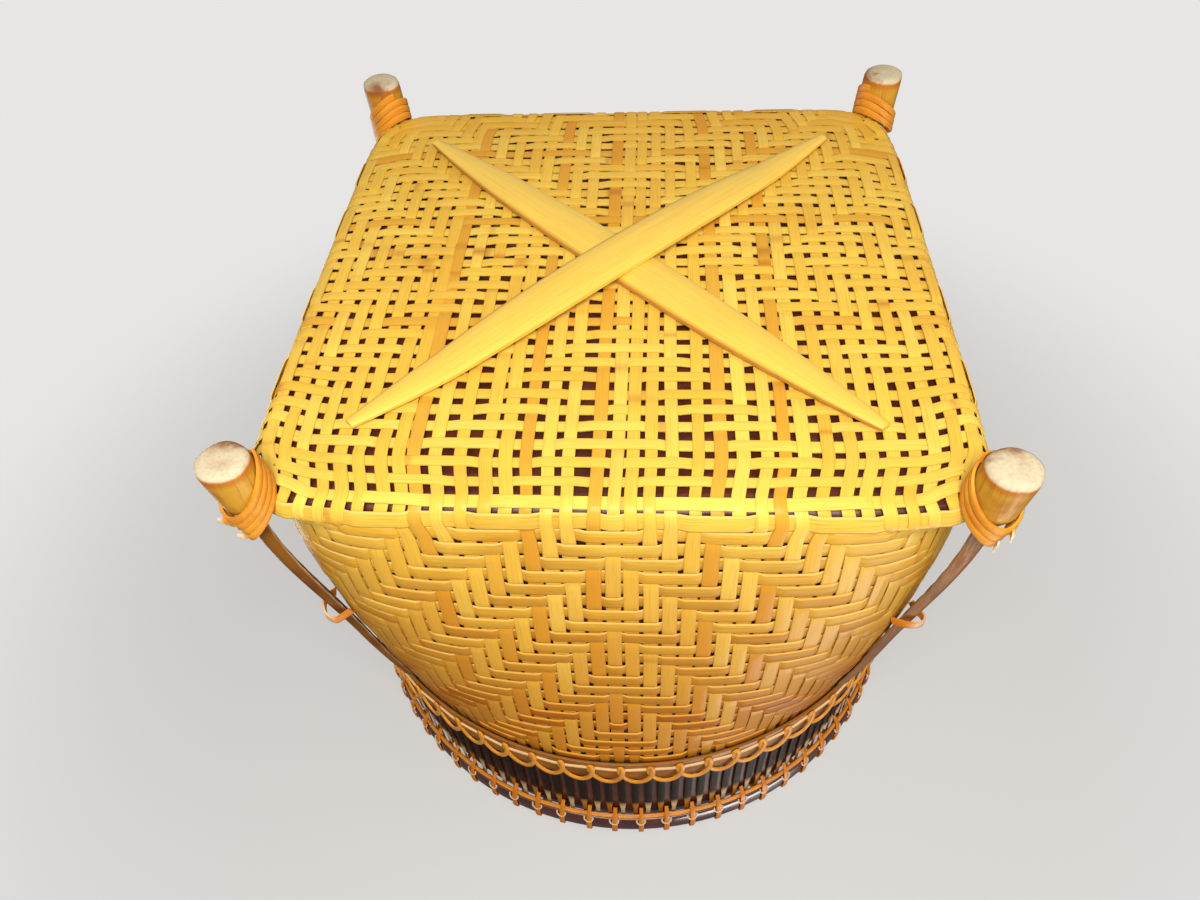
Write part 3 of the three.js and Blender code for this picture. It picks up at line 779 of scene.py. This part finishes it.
# Rings and the lining.
def ring_piece(name, profile, facets, material, slot, *nodes, wobble=0.0):
    """A profile of (radius, height) points, going round the axis."""
    angles = circle(facets)
    profile = np.array(profile)
    spread = wobble * (np.sin(3 * angles + 1) + 0.6 * np.sin(7 * angles + 2) + 0.4 * np.sin(16 * angles))
    radius = profile[None, :, 0] + spread[:, None]
    grid = np.stack([radius * np.cos(angles)[:, None], radius * np.sin(angles)[:, None],
                     np.broadcast_to(profile[None, :, 1], radius.shape)], -1)
    bundle = Bundle()
    bundle.add(grid, looped=True, along=angles * profile[0, 0] * MM,
               across=np.linspace(-0.5, 0.5, len(profile)), tint=rng.random(), tip=0.0)
    bundle.piece(name, material, slot, *nodes)


def rounded(inner, outer, low, high, corner, bow=0.0, steps=4):
    """A hoop's section, its corners rounded and its outer face bowed, anticlockwise from below."""
    points = []
    for (cx, cz), start in (((outer - corner, low + corner), -90), ((outer - corner, high - corner), 0),
                            ((inner + corner, high - corner), 90), ((inner + corner, low + corner), 180)):
        for k in range(steps + 1):
            a = math.radians(start + 90 * k / steps)
            points.append((cx + corner * math.cos(a), cz + corner * math.sin(a)))
        if start == -90 and bow:
            for share in (0.2, 0.5, 0.8):
                z = mix(low + corner, high - corner, share)
                points.append((outer + bow * math.sin(math.pi * share), z))
    return points[::-1]


RIM_TOP = 222.1
ring_piece("neck_band", rounded(inner=122.4, outer=123.6, low=150.9, high=164.2, corner=0.4), 140,
           RATTAN_BAND, "rattan_orange", "neck_hoop")
ring_piece("rim_outer", rounded(inner=121.2, outer=123.7, low=210.9, high=RIM_TOP, corner=1.1, bow=0.38), 160,
           LACQUER, "lacquer_dark", "rim_hoop_outer", wobble=0.02)
ring_piece("rim_inner", rounded(inner=114.4, outer=117.25, low=208.9, high=RIM_TOP, corner=1.1), 160,
           LACQUER, "lacquer_dark", "rim_hoop_inner", wobble=0.02)

LINING_STATIONS = 168
LINING_DEPTHS = (2.75, 3.85)
LINING_TOP = 211.8


def lining():
    """The lacquered paper inside the weave, from the base up to behind the rim."""
    stations = np.arange(LINING_STATIONS) * 4 / LINING_STATIONS
    quarter = stations.astype(int) * math.pi / 2
    local = stations % 1 * 2 - 1
    side_top = WALL_START + SIDE_HEIGHT
    over_side = FOOT_HEIGHT + EDGE_ROUND + SIDE_HEIGHT + 6
    ways = np.concatenate([FLAT_HALF + FOLD * np.linspace(0, 1, 7), np.linspace(WALL_START + 4, side_top, 22),
                           WALL_START - FOOT_HEIGHT - EDGE_ROUND + np.linspace(over_side, LINING_TOP, 10)])
    edge, _ = on_side(local, FLAT_HALF)
    down = np.tile([0.0, 0.0, -1.0], (LINING_STATIONS, 1))
    rings = [(edge * (share, share, 1), down) for share in np.linspace(0.06, 1, 12)[:-1]]
    rings += [on_side(local, w) for w in ways]
    sheets = [[turned(place - normal * depth + (0, 0, FOOT_HEIGHT), quarter) for place, normal in rings]
              for depth in LINING_DEPTHS]
    bundle = Bundle()
    bundle.add(np.array(sheets[0] + sheets[1][::-1]))
    bundle.piece("lining_shell", LINING, "lacquer_lining", "lacquered_lining", sharp=50)


lining()


def strand(bundle, path, normal, width, thick, section=STRIP_SECTION, looped=False, tip=0.0):
    """One strand, and tip says how far it shows its cream inside."""
    grid = sweep(path, normal, width, thick, section, looped)
    bundle.add(grid, looped=looped, along=run_of(path) + rng.random() * 5,
               across=section[:, 0], tint=rng.random(), tip=tip)


def spokes(angle):
    """Level directions out from an axis."""
    return np.stack([np.cos(angle), np.sin(angle), np.zeros_like(angle)], -1)


def on_ring(angle, radius, z):
    """Places round the axis, and the directions out from it."""
    angle, radius, z = np.broadcast_arrays(np.asarray(angle, float), np.asarray(radius, float),
                                           np.asarray(z, float))
    return np.stack([radius * np.cos(angle), radius * np.sin(angle), z], -1), spokes(angle)


def along_route(route, count):
    """So many places at even steps along a given route, and how far along each one lies."""
    distance = distances(route)
    fine = np.linspace(0, distance[-1], count)
    return np.interp(fine, distance, route[:, 0]), np.interp(fine, distance, route[:, 1]), fine


STITCHES = STAKES // 2
STITCH = TURN / STITCHES
FIRST_STITCH = math.radians(-0.83)
PER_STITCH = 28
# The straight strands wander in and out this many times round the basket.
WAVES = 35
# The neck's looped strand, and the straight one under it.
LACE_RADIUS, LACE_Z, LACE_SWING = 124.5, 158.0, 6.6
LACE_WIDTH, LACE_THICK = 1.75, 0.85
RUN_RADIUS, RUN_Z = 124.0, 154.4
RUN_WIDTH, RUN_THICK = 1.1, 0.7


def neck_lacing():
    """A flat strand that runs round the neck in loops, over one that goes straight."""
    bundle = Bundle()
    u = np.arange(STITCHES * PER_STITCH) / PER_STITCH
    angle = FIRST_STITCH + STITCH * (u - 0.36 - 0.27 * np.sin(TURN * u) + 0.03 * np.sin(TURN * u / 9.1))
    place, out = on_ring(angle, LACE_RADIUS + 0.42 * np.sin(TURN * u), LACE_Z - LACE_SWING * np.cos(TURN * u))
    strand(bundle, place, out, LACE_WIDTH, LACE_THICK, looped=True)
    turns = circle(280)
    place, out = on_ring(turns, RUN_RADIUS + 0.12 * np.sin(turns * WAVES), RUN_Z + 0.4 * np.sin(turns * 9))
    strand(bundle, place, out, RUN_WIDTH, RUN_THICK, looped=True, tip=0.5)
    bundle.piece("neck_strands", RATTAN_PALE, "rattan_orange", "neck_lacing")


neck_lacing()

# The cord's thick strand and its thin one.
CORD_RADIUS, CORD_Z, CORD_THICK = 122.15, 209.6, 1.8
THIN_RADIUS, THIN_Z, THIN_THICK = 122.3, 207.95, 0.9
# The way of a wrap as (radius, height), from inside the rim over its top and down to its tail.
WRAP_ROUTE = np.array([
    (113.95, 208.2), (113.9, 211), (113.9, 215), (113.95, 219.5), (114.2, 221.6), (115.2, 222.7),
    (117.5, 222.8), (119.5, 222.8), (121.5, 222.8), (123.3, 222.6), (124.45, 221.4), (124.7, 219),
    (124.75, 216.5), (124.7, 214), (124.5, 212.2), (124.0, 211.0), (123.75, 209.6), (123.4, 208.0),
    (122.7, 206.6), (121.7, 205.2), (120.6, 204.2)])
WRAP_WIDTH, WRAP_THICK = 2.25, 0.62
RIM_MIDDLE = (119.0, 215.0)
# The loop where a wrap comes back round the cord.
HOOK_RADIUS, HOOK_Z = 124.0, 210.6
HOOK_WIDTH, HOOK_THICK = 0.75, 0.65


def rim_strands():
    """The cord under the rim, the thin strand beside it, and the strand wound round them all."""
    turns = circle(350)
    bundle = Bundle()
    place, out = on_ring(turns, CORD_RADIUS + 0.05 * np.sin(turns * WAVES),
                         CORD_Z + 0.08 * np.sin(turns * WAVES + 1))
    strand(bundle, place, out, CORD_THICK - 0.05, CORD_THICK, round_section(10), looped=True)
    bundle.piece("rim_thick_cord", RATTAN_PALE, "rattan_orange", "rim_cord")

    bundle = Bundle()
    place, out = on_ring(turns, THIN_RADIUS + 0.1 * np.sin(turns * WAVES + 2),
                         THIN_Z + 0.12 * np.sin(turns * WAVES))
    strand(bundle, place, out, THIN_THICK, THIN_THICK, round_section(8), looped=True)
    radius, z, fine = along_route(WRAP_ROUTE, 50)
    slope = unit(np.stack([np.gradient(radius), np.gradient(z)], -1))
    up = np.tile([0.0, 0.0, 1.0], (len(fine), 1))
    for k in range(STITCHES):
        middle = FIRST_STITCH + STITCH * (k + rng.uniform(-0.05, 0.05))
        lean = rng.uniform(0.6, 1.2) / HOOK_RADIUS
        angle = middle + lean * (0.5 - fine / fine[-1])
        place, out = on_ring(angle, radius, z)
        normal = out * slope[:, 1:] - up * slope[:, :1]
        outward = np.sum(normal * (place - on_ring(angle, *RIM_MIDDLE)[0]), -1)
        normal = normal * np.where(outward < 0, -1.0, 1.0)[:, None]
        width = WRAP_WIDTH * (1 - 0.3 * smooth((fine - fine[-1] + 7) / 6))
        strand(bundle, place, normal, width * rng.uniform(0.92, 1.05), WRAP_THICK)
        hook = np.linspace(-0.35, math.pi + 0.35, 15)
        size = rng.uniform(1.75, 2.05)
        place, out = on_ring(middle + size * np.cos(hook) / LACE_RADIUS, HOOK_RADIUS + 0.75 * np.sin(hook),
                             HOOK_Z + size * 1.1 * np.sin(hook))
        strand(bundle, place, out, HOOK_WIDTH, HOOK_THICK, round_section(6), tip=0.7)
    bundle.piece("rim_wraps", RATTAN, "rattan_orange", "rim_binding")


rim_strands()

# Legs.
ROD_RADIUS = 7.5
ROD_TOP = 15.2
ROD_OUTSET = 2.0
ROD_LEAN = 2.0
SPLIT_TOP = 25.2
SPLINT_TOP = 150.5
# The split strip's thickness and width at the rod and at its top, and how it stands off the weave.
SPLINT_THICKS = (4.2, 2.3)
SPLINT_WIDTHS = (9.0, 7.0)
SPLINT_SEAT = 0.3
SPLINT_STANDOFF = 6.7
SPLINT_LANDS = 95
# How far its skin is bowed, as the sine of half the arc, and the arc's height at its edges.
SKIN_ARC = 0.72
SKIN_EDGE = 0.69
# The rod's worn cut end: heights over the floor, and its radii there.
END_HEIGHTS = (0.0, 0.25, 0.9, 2.0, 4.0)
END_RADII = (4.6, 6.1, 7.0, 7.35, ROD_RADIUS - 0.05)
LEG_POINTS = 28


def rod_axis(z):
    """The rod stands a little outward at its foot."""
    return BASE_CORNER + ROD_OUTSET + ROD_LEAN * np.maximum(1 - z / ROD_TOP, 0)


def strip_at(z):
    """The middle, thickness and width of the split strip at a height."""
    t = z - FOOT_HEIGHT
    share = np.clip((z - ROD_TOP) / (SPLINT_TOP - ROD_TOP), 0, 1)
    thick, wide = mix(*SPLINT_THICKS, share), mix(*SPLINT_WIDTHS, share)
    lift = SPLINT_STANDOFF * (1 + np.cos(np.pi * np.clip(t / SPLINT_LANDS, 0, 1))) / 2
    return waist_at(t) + SPLINT_SEAT + thick / 2 + lift, thick, wide


def leg(name, node, angle, seed):
    """A rod that is split over its foot into one strip, which runs up the basket's corner."""
    draw = random.Random(seed)
    turn = circle(LEG_POINTS)
    heights = np.concatenate([END_HEIGHTS, [7.0], np.linspace(10, ROD_TOP, 6),
                              np.linspace(ROD_TOP + 0.02, SPLIT_TOP, 9), np.linspace(28, SPLINT_TOP, 42)])
    radii = np.interp(heights, END_HEIGHTS, END_RADII)
    rings, split, flaked = [], [], []
    bend_a, bend_b = draw.uniform(0, TURN), draw.uniform(0, TURN)
    for z, r in zip(heights, radii):
        # The rod's ring, out along x and round along y.
        lumpy = 1 + 0.012 * np.sin(3 * turn + bend_a) + 0.01 * np.sin(5 * turn + bend_b + z / 9)
        rod = np.stack([rod_axis(z) + r * lumpy * np.cos(turn), r * lumpy * np.sin(turn)], -1)
        middle, thick, wide = strip_at(max(z, ROD_TOP))
        inner = middle - thick / 2
        # The strip's ring: a bowed skin outside and a rough flat face inside.
        side = np.clip(np.sin(turn) * 1.35, -1, 1)
        bow = np.sqrt(np.maximum(1 - (side * SKIN_ARC) ** 2, 0))
        front = inner + thick * (bow - SKIN_EDGE) / (1 - SKIN_EDGE)
        rough = 0.144 * np.sin(z * 2.1 + 5 * side) + 0.108 * np.sin(z * 0.7 + 9 * side)
        face = np.where(np.cos(turn) > 0, np.maximum(front, inner + 0.5), inner + rough)
        strip = np.stack([face, side * wide / 2], -1)
        if z > ROD_TOP:
            rod[:, 0] = np.maximum(rod[:, 0], inner)
        ring = mix(rod, strip, smooth((z - ROD_TOP) / (SPLIT_TOP - ROD_TOP)))
        rings.append(np.concatenate([ring, np.full((LEG_POINTS, 1), z)], -1))
        split.append((ring[:, 0] <= inner + 0.3) * float(z > ROD_TOP))
        flaked.append(np.clip(0.3 - np.cos(turn), 0, 1) * float(z < 3))
    bundle = Bundle()
    bundle.add(turned(np.array(rings), angle), split=np.array(split), flaked=np.array(flaked))
    bundle.piece(name, LEG_LOOK, "bamboo_amber", node, sharp=50)


LASH_START = 11.5
LASH_TURNS = 3.5
LASH_PITCH = 2.95
LASH_TILT = 0.9
LASH_RADIUS = 8.2
LASH_WIDTH, LASH_THICK = 2.9, 0.95
TAIL_WIDTHS = (2.2, 1.7)
TAIL_THICKS = (0.9, 0.6)
SHOULDER = ROD_TOP + 3


def lashing(name, node, angle, seed):
    """Turns of split rattan round the rod, under the base on its inner side. Their cut ends stand out
    on the outer side."""
    draw = random.Random(seed)
    bundle = Bundle()
    u = np.linspace(0, LASH_TURNS, 155)
    turn = math.pi + u * TURN
    z = LASH_START + u * LASH_PITCH + LASH_TILT * LASH_RADIUS * np.cos(turn)
    middle, thick, _ = strip_at(np.maximum(z, ROD_TOP))
    slim = smooth((z - SHOULDER) / (SPLIT_TOP - ROD_TOP)) * np.maximum(np.cos(turn), 0) ** 2
    x = mix(rod_axis(z) + LASH_RADIUS * np.cos(turn), middle + thick / 2 + 0.7, slim * 0.75)
    path = np.stack([x, LASH_RADIUS * np.sin(turn), z], -1)
    steep = 1 / np.hypot(1, LASH_TILT * np.sin(turn))
    strand(bundle, turned(path, angle), turned(spokes(turn), angle), LASH_WIDTH * steep, LASH_THICK)
    for k in range(4):
        # A short cut end on each turn, at the outer side of the rod.
        share = k + 0.5 + draw.uniform(-0.05, 0.02)
        reach = np.linspace(0, 1, 7)
        swing = math.pi + share * TURN + 0.30 * reach
        r = LASH_RADIUS + 0.35 + reach * draw.uniform(1.5, 2.4)
        z = LASH_START + share * LASH_PITCH + LASH_TILT * LASH_RADIUS * np.cos(swing) + reach * 0.6
        tucked = 3.2 * smooth((z - SHOULDER) / (SPLIT_TOP - ROD_TOP))
        tail = np.stack([rod_axis(z) - tucked + r * np.cos(swing), r * np.sin(swing), z], -1)
        strand(bundle, turned(tail, angle), turned(spokes(swing), angle), mix(*TAIL_WIDTHS, reach),
               mix(*TAIL_THICKS, reach), tip=smooth((reach - 0.25) / 0.4))
    bundle.piece(name, RATTAN_PALE, "rattan_orange", node)


TIE_HEIGHT = 70.5
TIE_WIDTH, TIE_THICK = 3.3, 0.8
TIE_SLACK = 2.6
TIE_RISE = 1.3
TIE_ROUNDING = 12


def tie(name, node, angle):
    """A strand over the strip at mid height, its ends going in to the weave."""
    z = FOOT_HEIGHT + TIE_HEIGHT
    middle, thick, wide = strip_at(z)
    outer = middle + thick / 2 + 0.55
    slack = outer + TIE_SLACK
    edge = wide / 2 + 0.75
    inner = waist_at(TIE_HEIGHT) + 0.15
    x, y, fine = along_route(np.array([
        (inner, -edge - 0.6), (middle - 0.4, -edge), (outer - 0.5, -edge + 0.35), (outer + 1.2, -edge + 0.4),
        (slack - 0.9, -edge + 1.5), (slack, -1.2), (slack - 0.7, 1.0), (outer + 1.2, edge - 2.4),
        (outer, edge - 1.2), (outer - 0.5, edge - 0.4), (middle - 0.4, edge), (inner, edge + 0.6)]), 60)
    for way in (x, y):
        for _ in range(TIE_ROUNDING):
            way[1:-1] = (way[:-2] + 2 * way[1:-1] + way[2:]) / 4
    path = np.stack([x, y, z + TIE_RISE * np.sin(fine / fine[-1] * TURN)], -1)
    slope = unit(np.stack([np.gradient(x), np.gradient(y)], -1))
    normal = np.stack([slope[:, 1], -slope[:, 0], np.zeros_like(x)], -1)
    bundle = Bundle()
    strand(bundle, turned(path, angle), turned(normal, angle), TIE_WIDTH, TIE_THICK,
           tip=0.6 * smooth((x - outer) / 2.5))
    bundle.piece(name, RATTAN, "rattan_orange", node)


CORNERS = (("back_right", 45), ("back_left", 135), ("front_left", 225), ("front_right", 315))
for number, (corner, degrees) in enumerate(CORNERS):
    angle = math.radians(degrees)
    leg("leg_post_" + corner, "leg_" + corner, angle, number)
    lashing("foot_wraps_" + corner, "foot_lashing_" + corner, angle, number)
    tie("post_loop_" + corner, "post_tie_" + corner, angle)


# Battens under the base.
BATTEN_LENGTH = 219.6
BATTEN_WIDE = 17.2
BATTEN_TIP = 3.6
BATTEN_THICK = 2.6
BATTEN_LEVEL = FOOT_HEIGHT - 1.8
# The outer batten bows down by this much over the inner one, and this far to each side of it.
BATTEN_DIP = 3.0
BATTEN_LAP = 76.0
BATTEN_SECTION = np.array([(-0.5, -0.5), (0.5, -0.5), (0.5, 0.02), (0.42, 0.26), (0.22, 0.44), (0.0, 0.5),
                           (-0.22, 0.44), (-0.42, 0.26), (-0.5, 0.02)])
SKIN_SHOWN = 0.85


def batten(name, node, angle, dip):
    """A bamboo slat, broad at the middle and thin at its ends, that shows its skin along one edge."""
    s = np.linspace(-1, 1, 71)
    x = s * BATTEN_LENGTH / 2
    width = BATTEN_TIP + (BATTEN_WIDE - BATTEN_TIP) * (1 - np.abs(s) ** 2.5)
    thick = BATTEN_THICK * mix(0.55, 1.0, 1 - np.abs(s) ** 3)
    path = np.stack([x, np.zeros_like(s), BATTEN_LEVEL - dip * np.maximum(1 - (x / BATTEN_LAP) ** 2, 0)], -1)
    down = np.tile([0.0, 0.0, -1.0], (len(s), 1))
    across = BATTEN_SECTION[:, 0]
    bundle = Bundle()
    bundle.add(turned(sweep(path, down, width, thick, BATTEN_SECTION), angle), along=run_of(path) + angle,
               across=across, tint=rng.random(), skin=SKIN_SHOWN * (across > 0.45)[None, :])
    bundle.piece(name, BATTEN_LOOK, "bamboo_straw", node)


batten("slat_inner", "batten_inner", math.radians(45), dip=0.0)
batten("slat_outer", "batten_outer", math.radians(135), dip=BATTEN_DIP)
# Camera, floor and light.
scene = bpy.context.scene
scene.view_settings.view_transform = "Standard"


def stand(place, data, right, up, back):
    """Puts a camera or a lamp at a place, with its own three axes."""
    made = bpy.data.objects.new(data.name, data)
    scene.collection.objects.link(made)
    made.matrix_world = Matrix.Translation(place) @ Matrix((right, up, back)).transposed().to_4x4()
    return made


lens = bpy.data.cameras.new("camera")
lens.lens = LENS
lens.sensor_width = SENSOR_WIDTH
lens.clip_start = NEAREST
scene.camera = stand([v * MM for v in CAMERA_PLACE], lens, CAMERA_RIGHT, CAMERA_UP,
                     [-v for v in CAMERA_FORWARD])

# From here on lengths are in metres.
FLOOR_HALF = 3.0
FLOOR_LIT = 0.45
BACKDROP = (0.80, 0.79, 0.77)
UNDER_COLOUR = (0.68, 0.67, 0.655)
SKY = (0.86, 0.87, 0.90)
# The floor that the turned basket stands on fades out from the first of these slants to the second, and
# so isn't there for a level view. 0 is square on and 1 is edge on.
SLANTS = (0.7, 0.84)


def floor(name, z, facing_up, fade, colour):
    """A pale floor that shows from one side only, and gives way to the world between two distances."""
    mesh = bpy.data.meshes.new(name)
    order = (0, 1, 2, 3) if facing_up else (3, 2, 1, 0)
    corners = [(FLOOR_HALF * x, FLOOR_HALF * y, z) for x, y in ((-1, -1), (1, -1), (1, 1), (-1, 1))]
    mesh.from_pydata(corners, [], [order])
    look = Look(name, 0.9, specular=0.1)
    # Part of its paleness is a glow of its own, so that it hardly takes the basket's colour. Diffuse rays
    # meet neither floor, so the glow lights nothing, and only the lower floor shows in reflections.
    look.put(look.shader.inputs["Base Color"], tuple(v * FLOOR_LIT for v in colour))
    look.put(look.shader.inputs["Emission Color"], tuple(v * (1 - FLOOR_LIT) for v in colour))
    look.put(look.shader.inputs["Emission Strength"], 1.0)
    hidden = look.node("ShaderNodeNewGeometry").outputs["Backfacing"]
    xyz = look.split(look.place())
    reach = look.math("SQRT", look.math("ADD", look.math("MULTIPLY", xyz[0], xyz[0]),
                                        look.math("MULTIPLY", xyz[1], xyz[1])))
    hidden = look.math("MAXIMUM", hidden, look.span(reach, *fade))
    if not facing_up:
        slant = look.node("ShaderNodeLayerWeight").outputs["Facing"]
        hidden = look.math("MAXIMUM", hidden, look.span(slant, *SLANTS))
    clear = look.node("ShaderNodeBsdfTransparent").outputs[0]
    both = look.node_in("ShaderNodeMixShader", {0: hidden, 1: look.shader.outputs[0], 2: clear})
    look.put(look.tree.nodes["Material Output"].inputs["Surface"], both.outputs[0])
    mesh.materials.append(look.material)
    made = bpy.data.objects.new(name, mesh)
    scene.collection.objects.link(made)
    made.visible_shadow = False
    made.visible_diffuse = False
    made.visible_glossy = facing_up


floor("floor", 0.0, True, (0.4, 1.4), BACKDROP)
floor("floor_over", 0.2236, False, (0.19, 0.42), UNDER_COLOUR)

world = bpy.data.worlds.new("world")
scene.world = world
world.use_nodes = True
tree = world.node_tree
tree.nodes.clear()


def glow(colour, strength):
    made = tree.nodes.new("ShaderNodeBackground")
    made.inputs["Color"].default_value = (*colour, 1)
    made.inputs["Strength"].default_value = strength
    return made.outputs[0]


def either(share, first, second):
    """The first shader, or the second where share is 1."""
    made = tree.nodes.new("ShaderNodeMixShader")
    for socket, value in zip(made.inputs, (share, first, second)):
        tree.links.new(value, socket)
    return made.outputs[0]


# The world lights the basket faintly, is fainter still in its gloss, and is pale for the camera.
rays = tree.nodes.new("ShaderNodeLightPath").outputs
lit = either(rays["Is Glossy Ray"], glow(SKY, 0.32), glow(SKY, 0.1))
seen = either(rays["Is Camera Ray"], lit, glow(BACKDROP, 1.0))
tree.links.new(seen, tree.nodes.new("ShaderNodeOutputWorld").inputs["Surface"])

LAMP_COLOUR = (1.0, 0.97, 0.92)
MIDDLE = (0, 0, 0.1)
FRONT_BASE = (0, -0.02, 0.03)


def lamp(name, place, target, size, power_w):
    """A soft square lamp that faces a target."""
    data = bpy.data.lights.new(name, "AREA")
    data.shape = "SQUARE"
    data.size = size
    data.energy = power_w
    data.color = LAMP_COLOUR
    back = unit(np.array(place, float) - np.array(target, float))
    right = unit(np.cross([0.0, 0.0, 1.0], back))
    stand(place, data, right, np.cross(back, right), back)


lamp("key_below", (-0.01, -0.36, -0.36), FRONT_BASE, size=0.22, power_w=3.45)
lamp("fill_below", (-0.8, -0.2, -0.45), MIDDLE, size=0.7, power_w=2)
lamp("key_above", (-0.6, -0.7, 1.0), MIDDLE, size=0.6, power_w=6)
lamp("fill_above", (0.9, 0.5, 0.7), MIDDLE, size=0.8, power_w=5)
